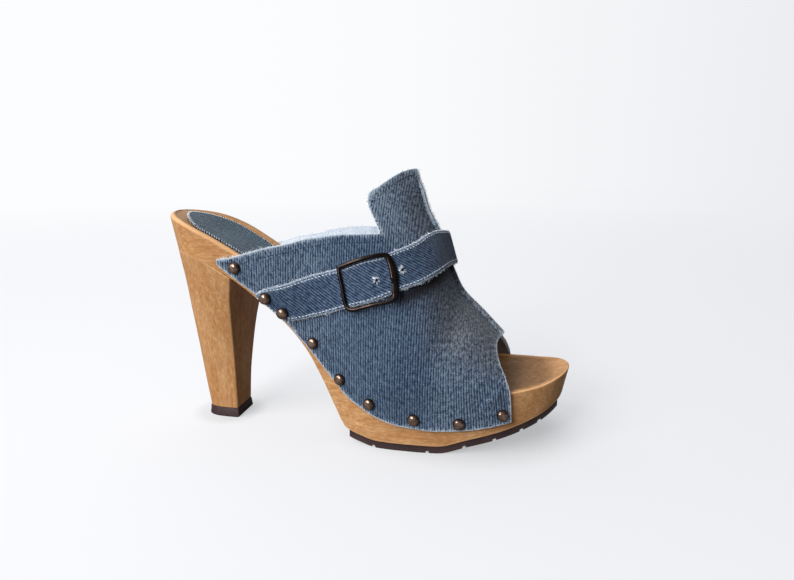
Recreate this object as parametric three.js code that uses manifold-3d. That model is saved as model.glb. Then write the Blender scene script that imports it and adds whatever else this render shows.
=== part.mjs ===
// High-heeled wooden clog, right shoe: wooden sole and heel, rubber tread and top lift,
// a hollow denim upper of two halves with a raised crest seam, strap, buckle, nails, sock pad.
// Millimetres. +X to the toe, +Y to the inner (big toe) side, +Z up, floor at z = 0.

import * as THREE from "three";
import { mergeVertices } from "three/addons/utils/BufferGeometryUtils.js";
import Module from "manifold-3d";

// Driving sizes of the wood and rubber
const LENGTH = 221;
const BALL_WIDTH = 75;
const SEAT_LEVEL = 118.3;
const SEAT_BOARD = 20;
const SEAT_DEPTH = 45;
const HEEL_TIP_WIDTH = 19.4;
const PLATFORM = 27.2;
const TOE_RISE = 7;
const TOE_SPRING = 15;
const TREAD = 4;
const TOP_LIFT = 5.2;
const ARRIS = 3;
const DISH = 2.2;
const HEEL_ROUND = 30;
const TOE_ROUND = 56;
const SEAT_BACK = 1.5;
const BACK_SLOPE = 4.9;
const TOE_SLOPE = 4.5;
const LUG_GROOVE = 1.3;
const TREAD_INSET = 1.6;
const FOOT_ARRIS = 1.2;
const TREAD_ARRIS = 0.6;

// Driving sizes of the upper, strap, buckle, pad and nails
const WALL = 2.2;
const INSTEP_RISE = 98;
const SEAM_RAISE = 1.7;
const SEAM_WIDTH = 5.6;
const STRAP_THICK = 1.8;
const BUCKLE_BAR = 2.4;
const BUCKLE_THICK = 2;
const PAD_THICK = 1.3;
const PAD_MARGIN = 6.5;
const NAIL_HEAD = 6.6;
const NAIL_DOME = 2.3;
const NAIL_SHANK = 1.5;
const NAIL_LENGTH = 8;
const GAP = 0.3;

const PLATFORM_BASE = TREAD + GAP;
const FOREFOOT_LEVEL = PLATFORM_BASE + PLATFORM;
const BALL_HALF = BALL_WIDTH / 2;

const MATERIALS = {
  wood: new THREE.MeshStandardMaterial({ color: 0xbe8c5a, roughness: 0.45, metalness: 0 }),
  rubber: new THREE.MeshStandardMaterial({ color: 0x4a3032, roughness: 0.7, metalness: 0 }),
  denim: new THREE.MeshStandardMaterial({ color: 0x6f87a5, roughness: 0.95, metalness: 0 }),
  strap: new THREE.MeshStandardMaterial({ color: 0x6381ab, roughness: 0.95, metalness: 0 }),
  brass: new THREE.MeshStandardMaterial({ color: 0x7d5c3a, roughness: 0.4, metalness: 0.9 }),
  iron: new THREE.MeshStandardMaterial({ color: 0x3b332e, roughness: 0.45, metalness: 0.85 }),
};

// Curves through the columns of a table

/** Smooth curve through a table's column that never overshoots its rows. */
function curve(rows, column, at = "along") {
  const xs = rows.map((row) => row[at]);
  const ys = rows.map((row) => row[column]);
  const slopes = xs.slice(1).map((x, i) => (ys[i + 1] - ys[i]) / (x - xs[i]));
  const tangents = xs.map((_, i) => {
    const before = slopes[Math.max(i - 1, 0)];
    const after = slopes[Math.min(i, slopes.length - 1)];
    return before * after <= 0 ? 0 : (2 * before * after) / (before + after);
  });
  return (x) => {
    const last = xs.length - 2;
    const found = xs.findIndex((value) => value > x) - 1;
    const i = found < -1 ? last : Math.min(Math.max(found, 0), last);
    const span = xs[i + 1] - xs[i];
    const t = THREE.MathUtils.clamp((x - xs[i]) / span, 0, 1);
    const start = ys[i] * (1 + 2 * t) * (1 - t) ** 2 + ys[i + 1] * t * t * (3 - 2 * t);
    return start + span * (tangents[i] * t * (1 - t) ** 2 + tangents[i + 1] * t * t * (t - 1));
  };
}

const range = (n) => Array.from({ length: n + 1 }, (_, i) => i / n);
const mix = THREE.MathUtils.lerp;

// Sole form. along: share of LENGTH; centre and half: shares of half the ball width;
// top: share of the rise from forefoot to seat; low: the same for the underside;
// tip and spring: shares of TOE_RISE above and TOE_SPRING below.
const SOLE = [
  { along: 0.0, centre: 0.0, half: 0.787, top: 1.0, low: 0.995, tip: 0, spring: 0 },
  { along: 0.068, centre: 0.0, half: 0.787, top: 0.957, low: 0.99, tip: 0, spring: 0 },
  { along: 0.136, centre: 0.0, half: 0.787, top: 0.887, low: 0.943, tip: 0, spring: 0 },
  { along: 0.195, centre: -0.01, half: 0.77, top: 0.808, low: 0.872, tip: 0, spring: 0 },
  { along: 0.271, centre: -0.024, half: 0.74, top: 0.685, low: 0.742, tip: 0, spring: 0 },
  { along: 0.339, centre: -0.035, half: 0.71, top: 0.54, low: 0.605, tip: 0, spring: 0 },
  { along: 0.385, centre: -0.035, half: 0.7, top: 0.443, low: 0.47, tip: 0, spring: 0 },
  { along: 0.428, centre: -0.04, half: 0.72, top: 0.347, low: 0.291, tip: 0, spring: 0 },
  { along: 0.457, centre: -0.048, half: 0.75, top: 0.287, low: 0.154, tip: 0, spring: 0 },
  { along: 0.484, centre: -0.053, half: 0.785, top: 0.237, low: 0.048, tip: 0, spring: 0 },
  { along: 0.515, centre: -0.045, half: 0.84, top: 0.185, low: 0.022, tip: 0, spring: 0 },
  { along: 0.565, centre: -0.03, half: 0.91, top: 0.112, low: 0.0, tip: 0, spring: 0 },
  { along: 0.611, centre: -0.01, half: 0.955, top: 0.07, low: 0.0, tip: 0, spring: 0 },
  { along: 0.7, centre: 0.045, half: 1.0, top: 0.01, low: 0.0, tip: 0, spring: 0.0 },
  { along: 0.77, centre: 0.1, half: 1.0, top: 0.0, low: 0.0, tip: 0, spring: 0.25 },
  { along: 0.85, centre: 0.15, half: 1.0, top: 0.0, low: 0.0, tip: 0.08, spring: 0.53 },
  { along: 0.92, centre: 0.18, half: 1.0, top: 0.0, low: 0.0, tip: 0.3, spring: 0.85 },
  { along: 1.0, centre: 0.18, half: 1.0, top: 0.0, low: 0.0, tip: 1.0, spring: 1.4 },
];
const soleCurve = Object.fromEntries(
  ["centre", "half", "top", "low", "tip", "spring"].map((name) => [name, curve(SOLE, name)]),
);
const along = (x) => THREE.MathUtils.clamp(x / LENGTH, 0, 1);

/** Round end of the outline: 0 at the very end, 1 from the length of the round inwards. */
function roundEnd(distance, length, power) {
  const inside = 1 - THREE.MathUtils.clamp(distance / length, 0, 1);
  return (1 - inside ** power) ** (1 / power);
}

const centreAt = (x) => soleCurve.centre(along(x)) * BALL_HALF;

function halfAt(x) {
  const ends = roundEnd(x, HEEL_ROUND, 2) * roundEnd(LENGTH - x, TOE_ROUND, 2);
  return soleCurve.half(along(x)) * BALL_HALF * ends;
}

/** Level of the footbed's rim. */
function rimLevel(x) {
  const rise = soleCurve.top(along(x)) * (SEAT_LEVEL - FOREFOOT_LEVEL);
  return FOREFOOT_LEVEL + rise + soleCurve.tip(along(x)) * TOE_RISE;
}

/** Level of the wood's underside. */
function underLevel(x) {
  const rise = soleCurve.low(along(x)) * (SEAT_LEVEL - SEAT_BOARD - PLATFORM_BASE);
  return PLATFORM_BASE + rise + soleCurve.spring(along(x)) * TOE_SPRING;
}

/** Footbed inside the rounded arris, dished across. */
function footbedLevel(x, y) {
  const share = THREE.MathUtils.clamp(Math.abs(y - centreAt(x)) / (halfAt(x) - ARRIS + 0.01), 0, 1);
  const ends = Math.min(1, x / HEEL_ROUND, (LENGTH - x) / HEEL_ROUND);
  return rimLevel(x) - DISH * ends * (1 - share * share);
}

// Meshes from quads

class Skin {
  constructor() {
    this.corners = [];
  }
  triangle(a, b, c) {
    this.corners.push(a, b, c);
  }
  quad(a, b, c, d) {
    this.triangle(a, b, c);
    this.triangle(a, c, d);
  }
  /** Quads between rows of points; wrap joins each row's end to its start. */
  rows(grid, wrap = false) {
    for (let i = 1; i < grid.length; i += 1) {
      const count = grid[i].length;
      for (let j = wrap ? 0 : 1; j < count; j += 1) {
        const k = (j + count - 1) % count;
        this.quad(grid[i - 1][k], grid[i][k], grid[i][j], grid[i - 1][j]);
      }
    }
  }
  geometry() {
    const positions = this.corners.flatMap((p) => [p.x, p.y, p.z]);
    let geometry = new THREE.BufferGeometry();
    geometry.setAttribute("position", new THREE.Float32BufferAttribute(positions, 3));
    geometry = mergeVertices(geometry, 1e-3);
    return outward(withoutSlivers(geometry));
  }
}

/** Drops the triangles that merging made flat. */
function withoutSlivers(geometry) {
  const index = geometry.index.array;
  const kept = [];
  for (let i = 0; i < index.length; i += 3) {
    const [a, b, c] = index.slice(i, i + 3);
    if (a !== b && b !== c && c !== a) kept.push(a, b, c);
  }
  geometry.setIndex(kept);
  return geometry;
}

/** Turns a closed mesh the right way out. */
function outward(geometry) {
  const position = geometry.attributes.position;
  const index = geometry.index.array;
  const [a, b, c] = [new THREE.Vector3(), new THREE.Vector3(), new THREE.Vector3()];
  let volume = 0;
  for (let i = 0; i < index.length; i += 3) {
    a.fromBufferAttribute(position, index[i]);
    b.fromBufferAttribute(position, index[i + 1]);
    c.fromBufferAttribute(position, index[i + 2]);
    volume += a.dot(b.cross(c));
  }
  if (volume > 0) return geometry;
  const flipped = [];
  for (let i = 0; i < index.length; i += 3) flipped.push(index[i], index[i + 2], index[i + 1]);
  geometry.setIndex(flipped);
  return geometry;
}

/** Rows across a loop whose points k and count - k lie at the same x. */
function acrossRows(loop, shares, level) {
  const half = loop.length / 2;
  return Array.from({ length: half + 1 }, (_, k) => {
    const left = loop[k];
    const right = loop[(loop.length - k) % loop.length];
    return shares.map((share) => {
      const point = left.clone().lerp(right, share);
      if (share > 0 && share < 1) point.z = level(point.x, point.y);
      return point;
    });
  });
}

/** Solid from stacked loops, closed by rows across the first and the last one. */
function stacked(loops, shares, level) {
  const skin = new Skin();
  skin.rows(loops, true);
  skin.rows(acrossRows(loops[0], [0, 1], level));
  skin.rows(acrossRows(loops.at(-1), shares, level).map((row) => row.reverse()));
  return skin.geometry();
}

// Booleans

const wasm = await Module();
wasm.setup();

function toManifold(geometry) {
  return new wasm.Manifold(
    new wasm.Mesh({
      numProp: 3,
      vertProperties: new Float32Array(geometry.attributes.position.array),
      triVerts: new Uint32Array(geometry.index.array),
    }),
  );
}

function fromManifold(body) {
  const mesh = body.getMesh();
  const geometry = new THREE.BufferGeometry();
  geometry.setAttribute("position", new THREE.Float32BufferAttribute(mesh.vertProperties, 3));
  geometry.setIndex(Array.from(mesh.triVerts));
  return geometry;
}

/** A geometry with holes where the cutters are. */
function cut(geometry, cutters) {
  const body = cutters.reduce((rest, cutter) => rest.subtract(toManifold(cutter)), toManifold(geometry));
  return fromManifold(body);
}

// Wooden sole: seat board, shank and platform

const OUTLINE_POINTS = 80;

/**
 * Loop round the sole, moved in by inset, from the heel's back along the outer side.
 * down: how much of the slope of the back and toe faces it takes, 0 at the rim.
 */
function outlineLoop(inset, level, down = 0) {
  return Array.from({ length: OUTLINE_POINTS }, (_, k) => {
    const turn = (2 * Math.PI * k) / OUTLINE_POINTS;
    const share = (1 - Math.cos(turn)) / 2;
    const x = share * LENGTH;
    const side = Math.sign(Math.round(Math.sin(turn) * 1e6));
    const inside = Math.max(halfAt(x) - inset, 0) * side;
    const back = (SEAT_BACK + inset + down * BACK_SLOPE) * (1 - Math.min(1, x / SEAT_DEPTH));
    const front = (inset + down * TOE_SLOPE) * (1 - Math.min(1, (LENGTH - x) / TOE_ROUND));
    const placed = x + back - front;
    return new THREE.Vector3(placed, centreAt(x) - inside, level(placed));
  });
}

function woodenSole() {
  const loops = [
    outlineLoop(FOOT_ARRIS, (x) => underLevel(x), 1),
    outlineLoop(0, (x) => underLevel(x) + FOOT_ARRIS, 0.93),
    outlineLoop(0, (x) => rimLevel(x) - ARRIS, 0.1),
    outlineLoop(ARRIS * 0.3, (x) => rimLevel(x) - ARRIS * 0.3),
    outlineLoop(ARRIS, (x) => rimLevel(x)),
  ];
  return stacked(loops, range(8), footbedLevel);
}

// Heel block and top lift. up: share of the block's height; back and front: shares of
// SEAT_DEPTH; half: share from the tip's half width to the seat's; square: corner power.
const HEEL = [
  { up: 0.0, back: 0.405, front: 0.822, half: 0.0, square: 3.4 },
  { up: 0.18, back: 0.345, front: 0.83, half: 0.06, square: 3.1 },
  { up: 0.38, back: 0.295, front: 0.85, half: 0.2, square: 2.9 },
  { up: 0.6, back: 0.24, front: 0.88, half: 0.42, square: 2.7 },
  { up: 0.82, back: 0.192, front: 0.935, half: 0.73, square: 2.5 },
  { up: 1.0, back: 0.155, front: 1.0, half: 0.985, square: 2.45 },
];
const SEAT_HALF = SOLE[0].half * BALL_HALF;

function heelLoop(up, level, flare = 0) {
  const at = (column) => curve(HEEL, column, "up")(up);
  const back = at("back") * SEAT_DEPTH - flare;
  const front = at("front") * SEAT_DEPTH + flare;
  const half = mix(HEEL_TIP_WIDTH / 2, SEAT_HALF, at("half")) + flare;
  const count = 28;
  return Array.from({ length: count }, (_, k) => {
    const turn = (Math.min(k, count - k) / (count / 2)) * (Math.PI / 2);
    const side = k <= count / 2 ? -1 : 1;
    const round = (value) => Math.max(value, 0) ** (2 / at("square"));
    const x = front - (front - back) * round(Math.cos(turn));
    const y = k === 0 ? 0 : side * half * round(Math.sin(turn));
    return new THREE.Vector3(x, y, level(x));
  });
}

/** The block's front face is the pair of points at the loop's middle, so it is split in two. */
function withFront(loop) {
  const middle = loop.length / 2;
  const corner = loop[middle];
  const other = corner.clone().setY(-corner.y);
  return [...loop.slice(0, middle + 1), other, ...loop.slice(middle + 1)];
}

function heelSolid(rows) {
  const skin = new Skin();
  skin.rows(rows, true);
  for (const [loop, flipped] of [[rows[0], false], [rows.at(-1), true]]) {
    const half = (loop.length - 1) / 2;
    const pairs = Array.from({ length: half + 1 }, (_, k) => [loop[k], loop[(loop.length - k) % loop.length]]);
    skin.rows(flipped ? pairs.map((pair) => pair.toReversed()) : pairs);
  }
  return skin.geometry();
}

function heelBlock() {
  const foot = TOP_LIFT + GAP;
  const rows = range(10).map((up) => {
    return withFront(heelLoop(up, (x) => mix(foot, underLevel(x) - GAP, up)));
  });
  return heelSolid(rows);
}

function topLift() {
  const rows = [
    { level: 0, flare: 0 },
    { level: 0.8, flare: 0.7 },
    { level: TOP_LIFT, flare: 0.35 },
  ];
  return heelSolid(rows.map(({ level, flare }) => withFront(heelLoop(0, () => level, flare))));
}

// Outsole. Each lug runs between two shares of LENGTH; a shallow groove follows it.
const LUGS = [
  { from: 0.492, to: 0.548 },
  { from: 0.557, to: 0.674 },
  { from: 0.683, to: 0.757 },
  { from: 0.766, to: 0.824 },
  { from: 0.833, to: 0.884 },
  { from: 0.893, to: 0.924 },
  { from: 0.933, to: 0.972 },
];
function outsole() {
  const stations = LUGS.flatMap(({ from, to }, i) => {
    const next = LUGS[i + 1];
    const steps = next ? Math.max(2, Math.round((to - from) * 50)) : 5;
    const place = (share) => mix(from, to, next ? share : 1 - (1 - share) ** 2) * LENGTH;
    const lug = range(steps).map((share) => ({ x: place(share), deep: TREAD }));
    if (!next) return lug;
    const ends = [to * LENGTH + 0.15, next.from * LENGTH - 0.15];
    return [...lug, ...ends.map((x) => ({ x, deep: TREAD - LUG_GROOVE }))];
  });
  const grid = stations.map(({ x, deep }) => {
    const round = 1 - Math.min(1, (LENGTH - x) / TOE_ROUND);
    const half = halfAt(x + round * (TOE_SLOPE + TREAD_INSET)) - TREAD_INSET;
    const top = underLevel(x) - GAP;
    const corners = [
      [-half, top],
      [half, top],
      [half, top - deep + TREAD_ARRIS],
      [half - TREAD_ARRIS, top - deep],
      [-half + TREAD_ARRIS, top - deep],
      [-half, top - deep + TREAD_ARRIS],
    ];
    return corners.map(([y, z]) => new THREE.Vector3(x, centreAt(x) + y, z));
  });
  const skin = new Skin();
  skin.rows(grid, true);
  for (const ring of [grid[0], grid.at(-1).toReversed()]) {
    for (let j = 1; j < ring.length - 1; j += 1) skin.triangle(ring[0], ring[j], ring[j + 1]);
  }
  return skin.geometry();
}

// Last form over the foot. crest: share of INSTEP_RISE above the footbed's rim;
// lean: the crest's place across, share of half the ball width; round: power of the
// section; ridge: how far the two halves' curves run past each other, share of the section.
const LAST = [
  { along: 0.17, crest: 1.02, lean: 0.333, round: 1.7, ridge: 0.06 },
  { along: 0.3, crest: 1.16, lean: 0.333, round: 1.7, ridge: 0.06 },
  { along: 0.4, crest: 1.235, lean: 0.333, round: 1.7, ridge: 0.06 },
  { along: 0.46, crest: 1.255, lean: 0.333, round: 1.7, ridge: 0.06 },
  { along: 0.507, crest: 1.235, lean: 0.333, round: 1.7, ridge: 0.06 },
  { along: 0.543, crest: 1.175, lean: 0.333, round: 1.7, ridge: 0.06 },
  { along: 0.57, crest: 1.1, lean: 0.333, round: 1.7, ridge: 0.065 },
  { along: 0.597, crest: 1.0, lean: 0.335, round: 1.72, ridge: 0.07 },
  { along: 0.63, crest: 0.86, lean: 0.34, round: 1.76, ridge: 0.075 },
  { along: 0.662, crest: 0.745, lean: 0.345, round: 1.82, ridge: 0.08 },
  { along: 0.696, crest: 0.56, lean: 0.35, round: 1.9, ridge: 0.09 },
  { along: 0.721, crest: 0.447, lean: 0.345, round: 1.98, ridge: 0.1 },
  { along: 0.774, crest: 0.33, lean: 0.32, round: 2.1, ridge: 0.1 },
  { along: 0.826, crest: 0.208, lean: 0.29, round: 2.25, ridge: 0.09 },
  { along: 0.88, crest: 0.09, lean: 0.27, round: 2.3, ridge: 0.08 },
];
const lastCurve = Object.fromEntries(
  ["crest", "lean", "round", "ridge"].map((name) => [name, curve(LAST, name)]),
);

// Hem: how far the upper reaches down from the rim, share of PLATFORM.
const HEM = [
  { along: 0.17, drop: 0.4 },
  { along: 0.2, drop: 0.46 },
  { along: 0.28, drop: 0.53 },
  { along: 0.34, drop: 0.54 },
  { along: 0.375, drop: 0.63 },
  { along: 0.42, drop: 0.71 },
  { along: 0.463, drop: 0.8 },
  { along: 0.495, drop: 0.88 },
  { along: 0.537, drop: 0.87 },
  { along: 0.617, drop: 0.825 },
  { along: 0.664, drop: 0.74 },
  { along: 0.726, drop: 0.67 },
  { along: 0.789, drop: 0.62 },
  { along: 0.87, drop: 0.52 },
];
const hemDrop = curve(HEM, "drop");
const OUTER = -1;
const INNER = 1;

/** Point of the upper's inside. turn: -1 hem, 0 the wood's rim, 1 crest. */
function lastPoint(x, turn, side) {
  const share = along(x);
  const edge = centreAt(x) + side * (halfAt(x) + GAP);
  const rim = rimLevel(x) - ARRIS * 0.5;
  if (turn <= 0) {
    return new THREE.Vector3(x, edge, rim + turn * (hemDrop(share) * PLATFORM - ARRIS * 0.5));
  }
  const power = lastCurve.round(share);
  const crest = lastCurve.lean(share) * BALL_HALF;
  const reach = Math.abs(edge - crest);
  const past = lastCurve.ridge(share) * reach;
  const width = reach + past;
  const end = Math.acos((past / width) ** (power / 2));
  const rise = lastCurve.crest(share) * INSTEP_RISE;
  const angle = turn * end;
  const y = crest - side * past + side * width * Math.cos(angle) ** (2 / power);
  const z = rim + rise * (Math.sin(angle) / Math.sin(end)) ** (2 / power);
  return new THREE.Vector3(x, y, z);
}

/** Outward normal of the last form on one side. */
function lastNormal(x, turn, side) {
  const at = (dx, dt) => lastPoint(x + dx, THREE.MathUtils.clamp(turn + dt, -1, 1), side);
  const lengthways = at(0.5, 0).sub(at(-0.5, 0));
  const upward = at(0, 0.01).sub(at(0, -0.01));
  return lengthways.cross(upward).multiplyScalar(-side).normalize();
}

/** Normal and mitre at a turn; at the crest the two halves share one. */
function lastOffset(x, turn, side, shared) {
  const own = lastNormal(x, turn, side);
  if (!shared) return own;
  const both = own.clone().add(lastNormal(x, turn, -side)).normalize();
  return both.divideScalar(Math.max(both.dot(own), 0.75));
}

// Ribs of each half from hem to top edge, back to front. ribs: ribs up to the next row.
// outer, inner: the rib's way as [turn, share of LENGTH], from the hem to its end.
const RIBS = [
  { ribs: 2, outer: [[-1, 0.179], [-0.75, 0.179]] },
  { ribs: 2, outer: [[-1, 0.197], [-0.39, 0.2]] },
  { ribs: 3, outer: [[-1, 0.232], [0.034, 0.24]] },
  { ribs: 3, outer: [[-1, 0.31], [0.18, 0.333]] },
  { ribs: 2, outer: [[-1, 0.375], [0.286, 0.411]] },
  { ribs: 2, outer: [[-1, 0.43], [0.358, 0.471]], inner: [[-1, 0.425], [0.338, 0.455]] },
  { ribs: 1, outer: [[-1, 0.489], [0.484, 0.554]], inner: [[-1, 0.475], [0.415, 0.523]] },
  {
    ribs: 1,
    outer: [[-1, 0.5], [0.484, 0.5575], [0.533, 0.5225]],
    inner: [[-1, 0.485], [0.415, 0.5265], [0.5, 0.501]],
  },
  {
    ribs: 1,
    outer: [[-1, 0.512], [0.484, 0.561], [0.556, 0.525]],
    inner: [[-1, 0.497], [0.415, 0.531], [0.525, 0.5035]],
  },
  {
    ribs: 2,
    outer: [[-1, 0.53], [0.484, 0.57], [0.622, 0.5424]],
    inner: [[-1, 0.515], [0.415, 0.541], [0.575, 0.523]],
  },
  {
    ribs: 3,
    outer: [[-1, 0.568], [0.484, 0.592], [0.762, 0.5707]],
    inner: [[-1, 0.555], [0.415, 0.575], [0.695, 0.558]],
  },
  { ribs: 4, crest: true, outer: [[-1, 0.615], [0.484, 0.627], [1, 0.593]] },
  { ribs: 4, crest: true, outer: [[-1, 0.665], [0.4, 0.666], [1, 0.63]] },
  { ribs: 4, crest: true, outer: [[-1, 0.712], [0.4, 0.706], [1, 0.67]] },
  { ribs: 4, crest: true, outer: [[-1, 0.755], [0.4, 0.745], [1, 0.71]] },
  { ribs: 4, crest: true, outer: [[-1, 0.81], [0.4, 0.795], [1, 0.77]] },
  {
    ribs: 1,
    crest: true,
    outer: [[-1, 0.861], [0, 0.857], [0.3, 0.843], [0.44, 0.831], [0.59, 0.822], [0.72, 0.819], [1, 0.829]],
  },
];

const RIB_SAMPLES = 60;

/** A rib's way as evenly spaced places {x, turn}. */
function wayPlaces(way) {
  const rows = way.map(([turn, share]) => ({ turn, share }));
  const share = curve(rows, "share", "turn");
  const end = rows.at(-1).turn;
  return range(RIB_SAMPLES).map((t) => ({ x: share(mix(-1, end, t)) * LENGTH, turn: mix(-1, end, t) }));
}

/** Every rib of one half, the ones between two rows blended from them. */
function ribWays(side) {
  const ways = RIBS.map((row) => wayPlaces(side === INNER && row.inner ? row.inner : row.outer));
  return RIBS.flatMap((row, i) => {
    const next = ways[Math.min(i + 1, ways.length - 1)];
    return Array.from({ length: row.ribs }, (_, k) => {
      const share = k / row.ribs;
      return ways[i].map(({ x, turn }, j) => {
        return { x: mix(x, next[j].x, share), turn: mix(turn, next[j].turn, share) };
      });
    });
  });
}

const FIRST_CREST_RIB = RIBS.filter((row) => !row.crest).reduce((sum, row) => sum + row.ribs, 0);

const BODY_ROWS = 9;
const SEAM_ROWS = [
  { from: SEAM_WIDTH / 2 + 0.8, raise: 0 },
  { from: SEAM_WIDTH / 2, raise: SEAM_RAISE },
  { from: 0.9, raise: SEAM_RAISE },
  { from: 0, raise: SEAM_RAISE * 0.45 },
];

/** The places along a rib, even in length, the last ones beside the crest. */
function ribPlaces(way, side) {
  const points = way.map(({ x, turn }) => lastPoint(x, turn, side));
  const lengths = [0];
  for (let i = 1; i < points.length; i += 1) {
    lengths.push(lengths[i - 1] + points[i].distanceTo(points[i - 1]));
  }
  const total = lengths.at(-1);
  const place = (length) => {
    const i = Math.max(1, lengths.findIndex((value) => value >= length - 1e-9));
    const t = (length - lengths[i - 1]) / (lengths[i] - lengths[i - 1]);
    return { x: mix(way[i - 1].x, way[i].x, t), turn: mix(way[i - 1].turn, way[i].turn, t) };
  };
  const beside = SEAM_ROWS.map((row) => total - Math.min(row.from, total * row.from * 0.08));
  const body = range(BODY_ROWS).slice(0, -1).map((share) => share * beside[0]);
  return [...body, ...beside].map(place);
}

/** Upper: one hollow shell, both halves joined along the crest seam. */
function upper() {
  const skin = new Skin();
  for (const side of [OUTER, INNER]) {
    const inside = [];
    const outside = [];
    ribWays(side).forEach((way, i) => {
      const places = ribPlaces(way, side);
      const onCrest = i >= FIRST_CREST_RIB;
      const last = places.length - 1;
      inside.push(places.map(({ x, turn }) => lastPoint(x, turn, side)));
      outside.push(
        places.map(({ x, turn }, j) => {
          const seam = SEAM_ROWS[j - BODY_ROWS];
          const thick = WALL + (onCrest && seam ? seam.raise : 0);
          const normal = lastOffset(x, turn, side, onCrest && j === last);
          return lastPoint(x, turn, side).addScaledVector(normal, thick);
        }),
      );
    });
    const parts = [];
    const add = (grid) => parts.push(side === OUTER ? grid : grid.toReversed());
    add(outside);
    add(inside.toReversed());
    add([inside[0], outside[0]]);
    add([outside.at(-1), inside.at(-1)]);
    add(outside.map((row, i) => [inside[i][0], row[0]]));
    const open = outside.slice(0, FIRST_CREST_RIB + 1);
    add(open.map((row, i) => [row.at(-1), inside[i].at(-1)]));
    parts.forEach((grid) => skin.rows(grid));
  }
  return skin.geometry();
}

// Strap. low, high: its two edges as [share of LENGTH, turn], from the hem to the crest.
const STRAP = [
  { low: [0.276, -0.97], high: [0.2735, -0.88] },
  { low: [0.31, -0.96], high: [0.3002, -0.275] },
  { low: [0.348, -0.75], high: [0.335, 0.045] },
  { low: [0.385, -0.17], high: [0.3744, 0.115] },
  { low: [0.4211, 0.053], high: [0.418, 0.185] },
  { low: [0.4876, 0.158], high: [0.4778, 0.268] },
  { low: [0.536, 0.227], high: [0.526, 0.345] },
  { low: [0.603, 0.365], high: [0.576, 0.447] },
  { low: [0.6524, 0.515], high: [0.6173, 0.595] },
  { low: [0.6735, 0.657], high: [0.64, 0.735] },
  { low: [0.6884, 0.856], high: [0.6564, 0.897] },
  { low: [0.6987, 1], high: [0.668, 1] },
];
const STRAP_SEAT = WALL + GAP + 0.1;
const STRAP_STEPS = 2;
const SEAM_REACH = 9;

/** Place on the strap: down its length (0 hem, 1 crest) and across (0 low edge, 1 high edge). */
function strapPlace(length, across) {
  const rows = STRAP.map(({ low, high }, at) => {
    return { at, lowX: low[0], lowTurn: low[1], highX: high[0], highTurn: high[1] };
  });
  const value = (column) => curve(rows, column, "at")(length * (STRAP.length - 1));
  const x = mix(value("lowX"), value("highX"), across) * LENGTH;
  return { x, turn: mix(value("lowTurn"), value("highTurn"), across) };
}

/** Point a given height above the last form; near the crest it clears the raised seam. */
function strapPoint({ x, turn }, side, height) {
  const atCrest = turn > 0.999;
  const away = lastPoint(x, turn, side).distanceTo(lastPoint(x, 1, side));
  const bridge = (SEAM_RAISE + 0.5) * Math.exp(-((away / SEAM_REACH) ** 2));
  const normal = lastOffset(x, turn, side, atCrest);
  return lastPoint(x, turn, side).addScaledVector(normal, height + bridge);
}

function strap() {
  const steps = (STRAP.length - 1) * STRAP_STEPS;
  const halfPlaces = range(steps).map((length) => ({ length }));
  const places = [
    ...halfPlaces.map(({ length }) => ({ length, side: OUTER })),
    ...halfPlaces.toReversed().slice(1).map(({ length }) => ({ length, side: INNER })),
  ];
  const sheet = (height) => places.map(({ length, side }) => {
    return range(3).map((across) => strapPoint(strapPlace(length, across), side, height));
  });
  const inside = sheet(STRAP_SEAT);
  const outside = sheet(STRAP_SEAT + STRAP_THICK);
  const rings = outside.map((row, i) => [...row, ...inside[i].toReversed()]);
  const skin = new Skin();
  skin.rows(rings, true);
  for (const [i, flipped] of [[0, false], [rings.length - 1, true]]) {
    const cap = [outside[i], inside[i]].map((row) => (flipped ? row.toReversed() : row));
    skin.rows(cap.toReversed());
  }
  return skin.geometry();
}

// Buckle. Its bars' middle line as [share of LENGTH, turn] on the outer side; bar: width
// as a share of BUCKLE_BAR.
const BUCKLE = [
  { at: [0.479, 0.262], bar: 0.9 },
  { at: [0.491, 0.219], bar: 0.8 },
  { at: [0.5055, 0.178], bar: 0.9 },
  { at: [0.515, 0.181], bar: 1.0 },
  { at: [0.552, 0.245], bar: 1.0 },
  { at: [0.588, 0.319], bar: 1.1 },
  { at: [0.5945, 0.338], bar: 1.3 },
  { at: [0.5905, 0.372], bar: 1.6 },
  { at: [0.5785, 0.402], bar: 1.5 },
  { at: [0.5655, 0.413], bar: 1.2 },
  { at: [0.553, 0.394], bar: 1.0 },
  { at: [0.518, 0.331], bar: 1.0 },
  { at: [0.4865, 0.276], bar: 1.0 },
];
const BUCKLE_SEAT = STRAP_SEAT + STRAP_THICK + GAP;

function buckle() {
  const count = BUCKLE.length;
  const path = new THREE.CatmullRomCurve3(
    BUCKLE.map(({ at: [share, turn] }) => {
      return strapPoint({ x: share * LENGTH, turn }, OUTER, BUCKLE_SEAT + BUCKLE_THICK / 2);
    }),
    true,
    "centripetal",
  );
  const rings = Array.from({ length: count * 3 }, (_, k) => {
    const t = k / (count * 3);
    const i = Math.floor(t * count);
    const bar = mix(BUCKLE[i].bar, BUCKLE[(i + 1) % count].bar, t * count - i) * BUCKLE_BAR;
    const centre = path.getPoint(t);
    const normal = lastNormal(centre.x, turnAtLevel(centre.x, centre.z, OUTER), OUTER);
    const tangent = path.getTangent(t);
    const across = tangent.clone().cross(normal).normalize();
    const up = across.clone().cross(tangent).normalize();
    return range(7).slice(0, -1).map((share) => {
      const angle = share * 2 * Math.PI + Math.PI / 7;
      const round = (value) => Math.sign(value) * Math.abs(value) ** 0.6;
      return centre.clone()
        .addScaledVector(across, (round(Math.cos(angle)) * bar) / 2)
        .addScaledVector(up, (round(Math.sin(angle)) * BUCKLE_THICK) / 2);
    });
  });
  const skin = new Skin();
  skin.rows([...rings, rings[0]], true);
  return skin.geometry();
}

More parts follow.
